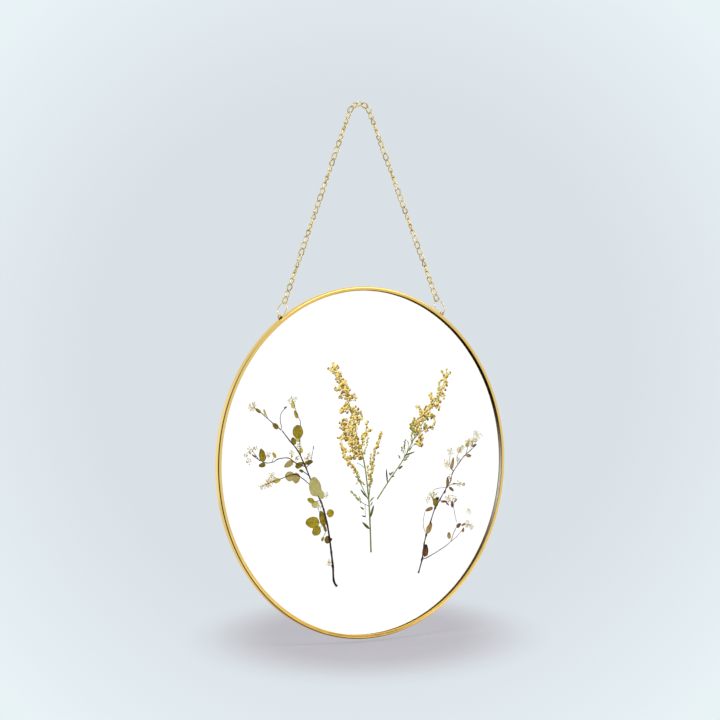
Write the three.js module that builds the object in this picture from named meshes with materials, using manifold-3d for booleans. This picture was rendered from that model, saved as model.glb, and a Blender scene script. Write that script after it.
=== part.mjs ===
// Round pressed flower frame that hangs on a chain: two clear panes in a thin brass rim, with four
// dried sprigs held between them. Millimetres, +Z up, the front faces -Y.
// The origin is where a hook meets the underside of the chain's top bend.
import * as THREE from 'three';
import { mergeVertices } from 'three/addons/utils/BufferGeometryUtils.js';
import Module from 'manifold-3d';

const wasm = await Module();
wasm.setup();

// ---- driving dimensions -------------------------------------------------------------------------

const RIM_RADIUS = 125;
const RIM_DEPTH = 4.5;
const RIM_WALL = 0.45; // sheet that the channel is rolled from
const RIM_LIP = 3; // how far each lip covers the glass, from the outside
const RIM_CORNER = 0.6; // rolled outer corner
const ROUND_SEGMENTS = 56; // facets round the rim and the panes
const WIRE_SIDES = 4;

const GLASS_THICKNESS = 1.1;
const GLASS_TO_LIP = 0.1;
const GLASS_TO_WALL = 0.3;

const LUG_ANGLE = THREE.MathUtils.degToRad(34); // from the top of the rim to each lug
const LUG_WIRE = 0.7;
const LUG_INNER_WIDTH = 2.2;
const LUG_INNER_HEIGHT = 2.2;
const LUG_DEPTH = 0.8;
const LUG_TO_RIM = 0.1;
const LUG_ARC_SEGMENTS = 3;
const HINGE_ABOVE_RIM = 1.45; // the line through both lugs that the frame tilts about

const RING_RADIUS = 5.4; // middle of the jump ring's wire
const RING_WIRE = 0.8;
const RING_SEGMENTS = 12;

const CHAIN_TOP = 254.3; // middle of the chain at the top of its bend, above the centre of the glass
const BEND_RADIUS = 9.5;
const LINK_WIRE = 0.9;
const LINK_WIDTH = 4.2; // outside
const LINK_SIDES = 6;
const LINKS_PER_SIDE = 31;
const LINKS_AT_TOP = 7; // round the bend, with a straight one at each end
const LINK_CURL = -90; // degrees that each link is twisted, end to end, so that the chain lies flat
const LINK_TURN = 22.7; // degrees that the chain turns with each link
const FIRST_LINK_ROLL = -51; // degrees
const LINK_SEAT = 0.75; // of a wire: how far apart the middles of two seated wires are
const RUN_SLACK = 0.4; // how much closer two links sit where one run of chain meets the next
const LINK_TO_RING = 0.2;

const LEAF_THICKNESS = 0.12;
const LEAF_CORNERS = 8;
const STEM_THICKNESS = 0.48;
const LEAFLET_THICKNESS = 0.384; // of a small leaf that is joined to its stem
const BEAD_THICKNESS = 1;
const BEAD_SIDES = 6;
const BEAD_BANDS = 2; // of a bead or a blossom, from pole to pole
const BRANCH_GAP = 0.3; // between a branch and the stem that it grows from

// Middle of each layer of leaves, from the front pane to the back pane. Stems lie at 0.
const LAYERS = { front: -0.5, nearFront: -0.34, nearBack: 0.34, back: 0.5 };

// ---- materials ----------------------------------------------------------------------------------

const finish = (color, roughness, metalness = 0) => (
  { color, roughness, metalness, flatShading: true }
);
const FINISHES = {
  brass: finish(0xd9a94e, 0.28, 1),
  glass: { ...finish(0xf4f8f8, 0.03), transparent: true, opacity: 0.25 },
  darkStem: finish(0x3c1e28, 0.75),
  greenStem: finish(0x6e7a3c, 0.75),
  oliveLeaf: finish(0xa58f1e, 0.7),
  paleLeaf: finish(0xbeb473, 0.75),
  brownLeaf: finish(0x8c6432, 0.7),
  goldenBud: finish(0xe1b950, 0.8),
};

function part(name, geometry, finishName) {
  const mesh = new THREE.Mesh(geometry, new THREE.MeshStandardMaterial(FINISHES[finishName]));
  mesh.name = name;
  return mesh;
}

// ---- joining and cutting ------------------------------------------------------------------------

function toSolid(geometry) {
  const bare = geometry.clone();
  bare.deleteAttribute('normal');
  bare.deleteAttribute('uv');
  const merged = mergeVertices(bare);
  const vertProperties = new Float32Array(merged.attributes.position.array);
  const triVerts = new Uint32Array(merged.index.array);
  return new wasm.Manifold(new wasm.Mesh({ numProp: 3, vertProperties, triVerts }));
}

function toGeometry(solid) {
  const mesh = solid.getMesh();
  const geometry = new THREE.BufferGeometry();
  geometry.setAttribute('position', new THREE.BufferAttribute(mesh.vertProperties, 3));
  geometry.setIndex(new THREE.BufferAttribute(mesh.triVerts, 1));
  geometry.computeVertexNormals();
  return geometry;
}

function join(pieces) {
  return toGeometry(pieces.map(toSolid).reduce((whole, piece) => whole.add(piece)));
}

function cut(piece, cutter) {
  return toGeometry(toSolid(piece).subtract(toSolid(cutter)));
}

// ---- flat pressed pieces, drawn in X and Z --------------------------------------------------------

// A plate of the given outline, its middle at y = layer.
function plate(outline, thickness, layer = 0) {
  const shape = new THREE.Shape(outline);
  const geometry = new THREE.ExtrudeGeometry(shape, { depth: thickness, bevelEnabled: false });
  geometry.rotateX(Math.PI / 2);
  geometry.translate(0, layer + thickness / 2, 0);
  return geometry;
}

// The outline of a strip along a path, as wide as startWidth tapering to endWidth.
function stripOutline(path, startWidth, endWidth) {
  const points = path.map(([x, z]) => new THREE.Vector2(x, z));
  const last = points.length - 1;
  const sides = points.map((point, i) => {
    const along = points[Math.min(i + 1, last)].clone().sub(points[Math.max(i - 1, 0)]).normalize();
    const halfWidth = THREE.MathUtils.lerp(startWidth, endWidth, i / last) / 2;
    const out = new THREE.Vector2(-along.y, along.x).multiplyScalar(halfWidth);
    return [point.clone().add(out), point.clone().sub(out)];
  });
  return [...sides.map(([left]) => left), ...sides.map(([, right]) => right).reverse()];
}

function stem(path, startWidth, endWidth) {
  return plate(stripOutline(path, startWidth, endWidth), STEM_THICKNESS);
}

// The room round a stem that its branches keep clear of.
function stemRoom(path, startWidth, endWidth) {
  const grow = 2 * BRANCH_GAP;
  const outline = stripOutline(path, startWidth + grow, endWidth + grow);
  return plate(outline, STEM_THICKNESS + grow);
}

// An egg-shaped outline: widest towards its base, its length turned by angle from +X towards +Z.
function leafOutline([x, z], length, width, angle) {
  const fullness = 0.22;
  const turn = THREE.MathUtils.degToRad(angle);
  return Array.from({ length: LEAF_CORNERS }, (_, i) => {
    const round = (2 * Math.PI * i) / LEAF_CORNERS;
    const along = (length / 2) * Math.cos(round);
    const across = (width / 2) * Math.sin(round) * (1 - fullness * Math.cos(round));
    const offset = new THREE.Vector2(along, across).rotateAround(new THREE.Vector2(), turn);
    return offset.add(new THREE.Vector2(x, z));
  });
}

// A small leaf that is joined to the stem it grows from.
function leaflet(centre, length, width, angle) {
  return plate(leafOutline(centre, length, width, angle), LEAFLET_THICKNESS);
}

// A cluster of tiny buds, as one faceted bead pressed flat by the panes.
function bead([x, z], width, height = width) {
  const geometry = new THREE.SphereGeometry(0.5, BEAD_SIDES, BEAD_BANDS);
  geometry.rotateY(x + z);
  geometry.scale(width, BEAD_THICKNESS, height);
  geometry.translate(x, 0, z);
  return geometry;
}

// A five-petalled blossom: every second corner of its edge is drawn in between two petals.
function blossom([x, z], size) {
  const petals = 5;
  const notch = 0.55;
  const corners = 2 * petals;
  const geometry = new THREE.SphereGeometry(0.5, corners, BEAD_BANDS);
  const position = geometry.attributes.position;
  for (let i = 0; i < position.count; i += 1) {
    const corner = i % (corners + 1); // the sphere's seam repeats its first corner
    const reach = corner % 2 === 1 ? notch : 1;
    position.setXYZ(i, position.getX(i) * reach, position.getY(i), position.getZ(i) * reach);
  }
  geometry.scale(size, BEAD_THICKNESS, size);
  geometry.rotateY(x);
  geometry.translate(x, 0, z);
  return geometry;
}

// ---- rim and panes --------------------------------------------------------------------------------

// A U channel bent into a ring, open towards the middle.
function rimGeometry() {
  const half = RIM_DEPTH / 2;
  const lip = RIM_RADIUS - RIM_LIP;
  const corner = RIM_RADIUS - RIM_CORNER;
  const inside = RIM_RADIUS - RIM_WALL;
  const halfInside = half - RIM_WALL;
  const profile = [
    [lip, -half], [corner, -half], [RIM_RADIUS, RIM_CORNER - half], [RIM_RADIUS, half - RIM_CORNER],
    [corner, half], [lip, half], [lip, halfInside], [inside, halfInside],
    [inside, -halfInside], [lip, -halfInside], [lip, -half],
  ];
  return new THREE.LatheGeometry(profile.map(([r, y]) => new THREE.Vector2(r, y)), ROUND_SEGMENTS);
}

function paneGeometry(side) {
  const radius = RIM_RADIUS - RIM_WALL - GLASS_TO_WALL;
  const geometry = new THREE.CylinderGeometry(radius, radius, GLASS_THICKNESS, ROUND_SEGMENTS);
  const middle = RIM_DEPTH / 2 - RIM_WALL - GLASS_TO_LIP - GLASS_THICKNESS / 2;
  geometry.translate(0, side * middle, 0);
  return geometry;
}

// ---- lugs, jump rings and chain -------------------------------------------------------------------

// Each lug is a low staple of wire, its opening facing front and back.
function lugGeometry(side) {
  const inner = LUG_INNER_WIDTH / 2;
  const outer = inner + LUG_WIRE;
  const leg = LUG_INNER_HEIGHT - inner;
  const shape = new THREE.Shape();
  shape.moveTo(-outer, 0);
  shape.lineTo(-inner, 0);
  shape.lineTo(-inner, leg);
  shape.absarc(0, leg, inner, Math.PI, 0, true);
  shape.lineTo(inner, 0);
  shape.lineTo(outer, 0);
  shape.lineTo(outer, leg);
  shape.absarc(0, leg, outer, 0, Math.PI, false);
  const geometry = new THREE.ExtrudeGeometry(shape, {
    depth: LUG_DEPTH,
    bevelEnabled: false,
    curveSegments: LUG_ARC_SEGMENTS,
  });
  geometry.rotateX(Math.PI / 2);
  geometry.translate(0, LUG_DEPTH / 2, RIM_RADIUS + LUG_TO_RIM);
  geometry.rotateY(side * LUG_ANGLE);
  return geometry;
}

const HINGE_RADIUS = RIM_RADIUS + HINGE_ABOVE_RIM;
const HINGE_X = HINGE_RADIUS * Math.sin(LUG_ANGLE);
const HINGE_Z = HINGE_RADIUS * Math.cos(LUG_ANGLE);

// The chain's route: straight up from each hinge, then round the bend.
// LEAN is its angle from upright.
const BEND_Z = CHAIN_TOP - BEND_RADIUS;
const HINGE_TO_BEND = Math.hypot(HINGE_X, BEND_Z - HINGE_Z);
const LEAN = Math.atan2(HINGE_X, BEND_Z - HINGE_Z) - Math.asin(BEND_RADIUS / HINGE_TO_BEND);
const STRAIGHT = Math.sqrt(HINGE_TO_BEND ** 2 - BEND_RADIUS ** 2) - 2 * RING_RADIUS;
const BEND_LENGTH = (Math.PI - 2 * LEAN) * BEND_RADIUS;
const ROUTE_LENGTH = 2 * STRAIGHT + BEND_LENGTH;

// A point on the route, by its distance from the top of the left jump ring, and the route's
// direction there, measured from +X towards +Z.
function chainRoute(distance) {
  const fromMiddle = distance - ROUTE_LENGTH / 2;
  const side = Math.sign(fromMiddle) || 1;
  const alongBend = Math.min(Math.abs(fromMiddle), BEND_LENGTH / 2);
  const alongRun = Math.abs(fromMiddle) - alongBend;
  const turn = alongBend / BEND_RADIUS;
  return {
    x: side * (BEND_RADIUS * Math.sin(turn) + alongRun * Math.cos(turn)),
    z: BEND_Z + BEND_RADIUS * Math.cos(turn) - alongRun * Math.sin(turn),
    direction: -side * turn,
  };
}

const LINK_COUNT = 2 * LINKS_PER_SIDE + LINKS_AT_TOP;
const SEATED = LINK_SEAT * LINK_WIRE;
const END_ROOM = RING_WIRE / 2 + LINK_WIRE / 2 + LINK_TO_RING;
const LINK_PITCH = (ROUTE_LENGTH + 2 * END_ROOM - SEATED + 2 * RUN_SLACK) / LINK_COUNT;
const LINK_REACH = (LINK_PITCH + SEATED) / 2; // from a link's middle to its end wire's middle

// A six-sided ring of wire with a flat at each end, pulled out along X to the link's length and
// twisted about X, so that each end crosses the next link's.
function linkGeometry(index) {
  const radius = (LINK_WIDTH - LINK_WIRE) / 2;
  const stretch = LINK_REACH - radius * Math.cos(Math.PI / LINK_SIDES);
  const geometry = new THREE.TorusGeometry(radius, LINK_WIRE / 2, WIRE_SIDES, LINK_SIDES);
  geometry.rotateZ(Math.PI / LINK_SIDES);
  const position = geometry.attributes.position;
  const point = new THREE.Vector3();
  const lengthways = new THREE.Vector3(1, 0, 0);
  for (let i = 0; i < position.count; i += 1) {
    point.fromBufferAttribute(position, i);
    point.x += Math.sign(Math.round(point.x)) * stretch;
    const share = THREE.MathUtils.clamp(point.x / LINK_REACH, -1, 1) / 2;
    point.applyAxisAngle(lengthways, share * THREE.MathUtils.degToRad(LINK_CURL));
    position.setXYZ(i, point.x, point.y, point.z);
  }
  const slackPassed = (index >= LINKS_PER_SIDE) + (index >= LINKS_PER_SIDE + LINKS_AT_TOP);
  const distance = LINK_REACH - END_ROOM + index * LINK_PITCH - slackPassed * RUN_SLACK;
  const { x, z, direction } = chainRoute(distance);
  const roll = FIRST_LINK_ROLL + index * LINK_TURN;
  geometry.rotateX(Math.PI / 2 + THREE.MathUtils.degToRad(roll));
  geometry.rotateY(-direction);
  geometry.translate(x, 0, z);
  return geometry;
}

function chainRun(first, count) {
  return join(Array.from({ length: count }, (_, i) => linkGeometry(first + i)));
}

// A jump ring stands in the plane of the frame's depth and the chain's pull.
function jumpRingGeometry(side) {
  const geometry = new THREE.TorusGeometry(RING_RADIUS, RING_WIRE / 2, WIRE_SIDES, RING_SEGMENTS);
  geometry.rotateY(Math.PI / 2);
  geometry.translate(0, 0, RING_RADIUS);
  geometry.rotateY(-side * LEAN);
  geometry.translate(side * HINGE_X, 0, HINGE_Z);
  return geometry;
}

// ---- leafy sprig, on the left ---------------------------------------------------------------------

const SPRIG_STEM = [
  [[-25, -86.5], [-27.7, -82], [-28.2, -72], [-29.5, -62], [-30.7, -53], [-32.7, -42], [-35.5, -32],
    [-37.8, -26], [-42, -18.5], [-46.2, -10.5], [-50.3, -1.5], [-52.7, 3], [-57.3, 11], [-63.6, 17.7],
    [-70, 25]],
  1.9, 0.8,
];

const SPRIG_BRANCHES = {
  sprig_branch_upper: [
    stem([[-70.4, 25.3], [-77.7, 30.5], [-86.5, 37.3], [-94, 42.5]], 0.8, 0.5),
    leaflet([-75.7, 28.6], 5.8, 3.8, 145),
    stem([[-82, 33.8], [-84.8, 40.6]], 0.6, 1.4),
    bead([-92.5, 41.4], 7, 4),
  ],
  sprig_branch_curled: [
    stem([[-70.3, 26.6], [-71.6, 33], [-70.5, 37.7], [-66.4, 41.2]], 0.6, 0.8),
  ],
  sprig_branch_middle: [
    stem([[-54.6, 6.5], [-55.2, 14], [-54.5, 30], [-57, 35.5], [-62, 49]], 0.7, 0.5),
    leaflet([-58, 36.2], 6, 3, 115),
    leaflet([-54.4, 11], 4.5, 3.6, 90),
  ],
  sprig_branch_left: [
    stem([[-50.5, -1], [-59, 2.2], [-65, 5.8], [-73.6, 5.5], [-78, 3.6], [-84, 3.2], [-90.5, 6],
      [-95.5, 9]], 0.9, 0.5),
    stem([[-89, 4.5], [-95.6, 12.5]], 0.6, 0.5),
    leaflet([-77, 7], 5.6, 2.6, 125),
    leaflet([-55.6, 0.6], 8, 4, 20),
  ],
  sprig_branch_lower: [
    stem([[-45.2, -15], [-53.6, -8.8], [-60, -5.7], [-71, -8.2], [-87, -12.5]], 0.8, 0.5),
    leaflet([-74.8, -9.5], 6, 3.4, 10),
    blossom([-82, -10.6], 6),
  ],
  sprig_twig: [
    stem([[-47.4, -7.5], [-51.5, -4.8], [-55.5, -2.7]], 0.7, 0.6),
  ],
  sprig_side_shoot: [
    stem([[-49.8, -1.2], [-47, 1.2], [-45.6, 4.5], [-43.4, 13.5]], 0.8, 0.4),
    leaflet([-47.2, 2.2], 6, 3.4, 10),
  ],
};

// Node, middle, length, width, angle, layer and finish of each leaf that is a piece of its own.
const SPRIG_LEAVES = [
  ['sprig_leaf_pale_large', [-43, -15.3], 14, 10.4, 105, 'nearFront', 'paleLeaf'],
  ['sprig_leaf_pale_small', [-37.9, -20.8], 7, 5, 115, 'front', 'paleLeaf'],
  ['sprig_leaf_pale_low', [-43.2, -27.7], 6, 5, 20, 'nearFront', 'paleLeaf'],
  ['sprig_leaf_side', [-46.8, -24.7], 6.4, 3.8, 155, 'front', 'oliveLeaf'],
  ['sprig_leaf_olive_large', [-45, -40.3], 11.8, 8.2, 175, 'nearBack', 'oliveLeaf'],
  ['sprig_leaf_olive_low', [-41.6, -46.3], 8, 6.8, 125, 'back', 'oliveLeaf'],
  ['sprig_leaf_olive_stem', [-36.4, -37.7], 11.5, 5.4, 105, 'back', 'oliveLeaf'],
  ['sprig_leaf_olive_right', [-30, -34.5], 8, 5.6, 0, 'nearBack', 'oliveLeaf'],
  ['sprig_leaf_round_low', [-32.3, -53], 5.6, 5.4, 60, 'nearBack', 'oliveLeaf'],
  ['sprig_leaf_round_top', [-57, 24], 9.6, 9, 100, 'nearFront', 'oliveLeaf'],
  ['sprig_leaf_top_side', [-60.8, 17.6], 5.6, 4, 120, 'front', 'oliveLeaf'],
  ['sprig_leaf_brown_left', [-64, -7], 7.8, 7, 175, 'nearBack', 'brownLeaf'],
  ['sprig_leaf_brown_right', [-58.6, -8.4], 7.6, 7, 90, 'back', 'brownLeaf'],
  ['sprig_leaf_brown_upper', [-64.6, 1.6], 8.5, 4.4, 25, 'nearBack', 'brownLeaf'],
  ['sprig_leaf_tip_tall', [-87.3, 8.8], 9.4, 5.6, 105, 'nearFront', 'oliveLeaf'],
  ['sprig_leaf_tip_low', [-87.5, 1.8], 5.8, 3.4, 10, 'nearFront', 'oliveLeaf'],
];

// ---- first yellow spray, in the middle ------------------------------------------------------------

const TALL_SPRAY_STEM = [
  [[5, -64], [4.3, -39], [2.9, -20], [0, 0], [-5.2, 16], [-9, 31], [-13.3, 43.6], [-19.5, 58],
    [-25.5, 69.5]],
  1.5, 0.5,
];
const TALL_SPRAY_ON_STEM = [
  stem([[-5.5, 16.5], [-20.5, 18.5]], 0.7, 0.6),
  stem([[-1, 3], [-8, 4.2], [-13.6, 4.6]], 0.8, 2.4),
  stem([[-2.8, 9.5], [7, 24]], 0.8, 0.6),
  stem([[-16.5, 51], [-23.5, 52.7]], 0.7, 1.6),
  stem([[0.1, -3.6], [-6.5, 0]], 0.7, 0.5),
  bead([-26, 69], 5.4, 5),
  bead([-21.6, 63], 6, 8),
  bead([-17.8, 55], 7, 9),
  bead([-14.6, 47.6], 12, 5.4),
  bead([-14.6, 39.6], 11, 5.6),
  bead([-6.8, 35.8], 10, 7),
  bead([-11, 29.5], 11, 6),
  bead([-15.6, 24.6], 11, 9),
  bead([-8.6, 22.4], 7, 8),
  bead([-14.6, 17.4], 13, 5.6),
  bead([-6.4, 12], 8.4, 9),
  bead([2, 19.6], 7, 5.4),
  bead([6, 23.4], 3.8, 3.4),
];

const TALL_SPRAY_BRANCHES = {
  tall_spray_branch_right: [
    stem([[3.6, -26], [5, -15.5], [6.2, -6], [9.2, 5], [11.9, 14], [15, 20.2]], 0.9, 0.6),
    stem([[8.9, 4], [12.6, 6.6]], 0.6, 0.8),
    bead([5, -13], 3, 8),
    bead([6.4, -4], 3.4, 7),
    bead([9.2, 7], 2.8, 5),
    bead([13.2, 16.6], 4, 8),
  ],
  tall_spray_branch_left: [
    stem([[2.9, -26], [-4.3, -13], [-10.5, -1.2], [-15.8, 2.6], [-20, 13.2]], 0.8, 0.5),
    bead([-7, -8], 4.4, 5.4),
    bead([-11.5, -1.4], 4, 3.2),
    bead([-18.8, 11.4], 4.4, 6),
  ],
  tall_spray_branch_low: [
    stem([[3.6, -31], [-1.4, -28.8], [-5.7, -25], [-12.3, -20]], 0.7, 0.4),
    leaflet([-8.4, -22.8], 6.4, 2, 138),
    stem([[0.5, -29.4], [0.2, -33.5], [0.6, -38.2]], 0.6, 0.5),
    stem([[0.3, -32.8], [-3.6, -30.8]], 1.2, 0.6),
  ],
};

const TALL_SPRAY_LEAVES = [
  ['tall_spray_leaf_low', [0.4, -44.6], 7.8, 2, 140, 'nearFront', 'greenStem'],
  ['tall_spray_leaf_right', [6.2, -34.6], 9, 2, 70, 'nearFront', 'greenStem'],
  ['tall_spray_leaf_upper', [-1.4, -21.4], 7.4, 1.3, 130, 'nearFront', 'greenStem'],
];

// ---- second yellow spray, leaning right -----------------------------------------------------------

const WIDE_SPRAY_STEM = [
  [[11, -26.4], [23, -12], [34.3, 0.7], [43.8, 15], [53.3, 28.3], [63.3, 41.7], [70.5, 51.5],
    [74.2, 62.5]],
  1.2, 0.5,
];
const WIDE_SPRAY_ON_STEM = [
  stem([[34.5, 1], [36, 6], [35.5, 12.5]], 0.6, 1.6),
  stem([[38, 6.2], [48.6, 13.3]], 0.6, 0.6),
  stem([[41.5, 11.5], [43, 25.5]], 0.6, 0.6),
  stem([[34, 0.4], [30.9, 3.8]], 0.9, 0.6),
  stem([[26, -8.9], [21.5, -9.4]], 0.9, 0.6),
  bead([48.8, 13.8], 7.4, 7),
  bead([43.8, 25.6], 7, 6.4),
  bead([47.4, 24], 6, 6.4),
  bead([51.4, 35], 7.4, 7.4),
  bead([56.6, 32], 7.4, 6.4),
  bead([62, 38.8], 9.4, 6),
  bead([66.8, 45.6], 9, 7),
  bead([69.6, 51.6], 8, 7),
  bead([73.4, 60], 5.6, 10),
];

const WIDE_SPRAY_BRANCHES = {
  wide_spray_branch: [
    stem([[43.2, 14], [48.5, 18.6], [55, 22.2], [60.2, 23], [62.3, 27.2], [61.5, 31]], 0.7, 0.5),
    bead([55.4, 22.4], 4.4, 4),
    bead([61.6, 25.6], 4.2, 6.4),
  ],
};

const WIDE_SPRAY_LEAVES = [
  ['wide_spray_leaf_low', [19.4, -9.8], 10, 1.3, 95, 'nearFront', 'greenStem'],
  ['wide_spray_leaf_upper', [40, 4.9], 9.6, 1.2, 14, 'nearFront', 'greenStem'],
];

// ---- blossom twig, on the right -------------------------------------------------------------------

const TWIG_STEM = [
  [[46.6, -81.2], [50, -71.6], [52, -61], [54, -54.3], [57.9, -45.3], [62.3, -35], [66.5, -29.5],
    [73.3, -20.2], [76.7, -16.2], [78.2, -10.8], [85, -2.8], [89.2, 1.3], [94.6, 5], [100.3, 9]],
  1.2, 0.6,
];
const TWIG_ON_STEM = [
  leaflet([62.9, -30.6], 6, 4.8, 90),
  stem([[79.2, -9.2], [74, -4]], 0.6, 0.5),
  stem([[83.2, -4.6], [82.5, 0.6], [85.5, 6.2]], 0.6, 0.5),
  stem([[90.8, 2.6], [93.6, 12]], 0.6, 0.5),
  stem([[98.5, 7.8], [100.6, 15]], 0.6, 0.5),
  stem([[62, -30.6], [58, -25]], 0.6, 0.5),
  blossom([73.6, -3.6], 5.5),
  blossom([85.4, 6], 6),
  blossom([93.4, 11.6], 6.6),
  blossom([100.6, 15], 7.4),
  blossom([59, -25.6], 6),
];

const TWIG_BRANCHES = {
  twig_branch_low: [
    stem([[50.2, -71.3], [55, -70.3], [70, -63.7], [76.6, -59.6]], 0.9, 0.6),
    stem([[76.2, -59.9], [79.8, -52.2], [83.3, -48.7], [92, -49]], 0.6, 0.5),
    stem([[76.2, -59.9], [81.7, -56.6], [87.8, -51]], 0.6, 1),
    leaflet([83.4, -48.7], 4.8, 3, 35),
    blossom([92.3, -48.8], 6.4),
  ],
  twig_tendril_left: [
    stem([[54.2, -54], [51.9, -48.7], [51.7, -42.8], [53.3, -37]], 0.5, 0.5),
    leaflet([56.6, -36], 7.6, 2.8, 15),
  ],
  twig_tendril_upper: [
    stem([[72.8, -20.8], [64.2, -21.2], [60.4, -22.6]], 0.5, 0.4),
  ],
  twig_branch_right: [
    stem([[73.6, -20], [80, -18.4], [89.4, -19.3]], 0.6, 0.4),
    leaflet([76.8, -21.2], 5.6, 2.4, 145),
    blossom([84.4, -18.6], 5),
  ],
  twig_branch_middle: [
    stem([[66.3, -30], [71.7, -31], [77.5, -31.4], [80, -40.3], [81.4, -46.2]], 0.7, 0.4),
    leaflet([77.8, -33], 5, 2.8, 95),
    leaflet([71.6, -31.2], 6.4, 2.4, 165),
    blossom([74.2, -28.8], 5.6),
    blossom([79.4, -30.2], 5),
  ],
};

const TWIG_LEAVES = [
  ['twig_leaf_red', [52.9, -65.3], 9, 5.4, 80, 'nearFront', 'brownLeaf'],
  ['twig_leaf_lower', [56.6, -49.2], 8.6, 4.4, 60, 'nearFront', 'brownLeaf'],
  ['twig_leaf_middle', [73.6, -16.8], 7.2, 2.8, 90, 'nearFront', 'brownLeaf'],
  ['twig_leaf_upper', [78.3, -3.3], 8.4, 2.6, 80, 'nearFront', 'brownLeaf'],
  ['twig_leaf_tip', [93, 1.4], 4.8, 2.6, 175, 'nearFront', 'brownLeaf'],
  ['twig_leaf_loose', [74.3, -55.6], 4.9, 3.4, 100, 'nearFront', 'brownLeaf'],
];

// ---- a whole sprig --------------------------------------------------------------------------------

// The branches of a sprig, each cut back so that it stops short of the stem.
function branchParts(branches, stemShape, finishName) {
  const room = stemRoom(...stemShape);
  return Object.entries(branches).map(([name, pieces]) => {
    const whole = join(pieces);
    return part(name, cut(whole, room), finishName);
  });
}

function leafParts(leaves) {
  return leaves.map(([name, centre, length, width, angle, layer, finishName]) => {
    const outline = leafOutline(centre, length, width, angle);
    return part(name, plate(outline, LEAF_THICKNESS, LAYERS[layer]), finishName);
  });
}

function sprig(name, stemShape, onStem, branches, leaves, finishName) {
  const group = new THREE.Group();
  group.add(part(`${name}_stem`, join([stem(...stemShape), ...onStem]), finishName));
  group.add(...branchParts(branches, stemShape, finishName));
  group.add(...leafParts(leaves));
  return group;
}

// ---- the whole frame ------------------------------------------------------------------------------

function hangingFrame() {
  const group = new THREE.Group();
  group.add(part('rim', rimGeometry(), 'brass'));
  group.add(part('glass_front', paneGeometry(-1), 'glass'));
  group.add(part('glass_back', paneGeometry(1), 'glass'));
  group.add(part('lug_left', lugGeometry(-1), 'brass'));
  group.add(part('lug_right', lugGeometry(1), 'brass'));
  group.add(sprig('sprig', SPRIG_STEM, [], SPRIG_BRANCHES, SPRIG_LEAVES, 'darkStem'));
  group.add(sprig('tall_spray', TALL_SPRAY_STEM, TALL_SPRAY_ON_STEM, TALL_SPRAY_BRANCHES,
    TALL_SPRAY_LEAVES, 'goldenBud'));
  group.add(sprig('wide_spray', WIDE_SPRAY_STEM, WIDE_SPRAY_ON_STEM, WIDE_SPRAY_BRANCHES,
    WIDE_SPRAY_LEAVES, 'goldenBud'));
  group.add(sprig('twig', TWIG_STEM, TWIG_ON_STEM, TWIG_BRANCHES, TWIG_LEAVES, 'darkStem'));
  return group;
}

function hanger() {
  const group = new THREE.Group();
  const firstOnRight = LINKS_PER_SIDE + LINKS_AT_TOP;
  group.add(part('jump_ring_left', jumpRingGeometry(-1), 'brass'));
  group.add(part('jump_ring_right', jumpRingGeometry(1), 'brass'));
  group.add(part('chain_left', chainRun(0, LINKS_PER_SIDE), 'brass'));
  group.add(part('chain_top', chainRun(LINKS_PER_SIDE, LINKS_AT_TOP), 'brass'));
  group.add(part('chain_right', chainRun(firstOnRight, LINKS_PER_SIDE), 'brass'));
  return group;
}

const flowerFrame = new THREE.Group();
flowerFrame.add(hanger(), hangingFrame());
flowerFrame.position.z = -(CHAIN_TOP - LINK_WIDTH / 2);

export default flowerFrame;
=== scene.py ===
import random
from math import asin, atan2, cos, degrees, exp, hypot, pi, radians, sin, sqrt

import bpy
from mathutils import Matrix, Vector


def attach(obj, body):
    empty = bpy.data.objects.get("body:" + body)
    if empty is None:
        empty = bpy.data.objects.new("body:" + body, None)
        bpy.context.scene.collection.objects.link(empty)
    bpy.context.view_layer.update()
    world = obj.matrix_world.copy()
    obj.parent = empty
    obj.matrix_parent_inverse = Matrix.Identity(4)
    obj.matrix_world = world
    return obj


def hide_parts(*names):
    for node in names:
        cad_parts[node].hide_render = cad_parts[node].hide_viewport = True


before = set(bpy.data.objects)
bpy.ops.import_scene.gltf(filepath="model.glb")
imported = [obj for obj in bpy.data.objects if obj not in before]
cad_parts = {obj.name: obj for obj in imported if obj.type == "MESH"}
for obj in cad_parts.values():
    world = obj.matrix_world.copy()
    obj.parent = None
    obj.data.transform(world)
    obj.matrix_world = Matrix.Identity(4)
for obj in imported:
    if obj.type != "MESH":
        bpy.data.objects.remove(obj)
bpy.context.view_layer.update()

# Everything below is in millimetres from the middle of the glass: X right, Y back, Z up.
# Flat plant pieces give X and Z alone.
MM = 0.001
CENTRE = Vector((0, 0, -0.2522))

# ---- as in the CAD ------------------------------------------------------------------------------

RIM_RADIUS = 125
RIM_DEPTH = 4.5
RIM_WALL = 0.45
RIM_LIP = 3
RIM_CORNER = 1.1
LUG_ANGLE = radians(34)
HINGE_ABOVE_RIM = 1.45
RING_RADIUS = 5.4
RING_WIRE = 0.8
CHAIN_TOP = 254.3
BEND_RADIUS = 9.5
LINK_WIRE = 0.9
LINK_WIDTH = 4.2
LINKS_PER_SIDE = 31
LINKS_AT_TOP = 7
LINK_CURL = -90
LINK_TURN = 22.7
FIRST_LINK_ROLL = -51
LINK_SEAT = 0.75
RUN_SLACK = 0.4
LINK_TO_RING = 0.2
LUG_WIRE = (0.7, 0.8)
LUG_REACH = 1.45
LAYERS = {"front": -0.5, "nearFront": -0.34, "nearBack": 0.34, "back": 0.5}
FLATTENED = 0.48  # how thick a stem can be between the panes

# ---- meshes -------------------------------------------------------------------------------------


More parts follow.
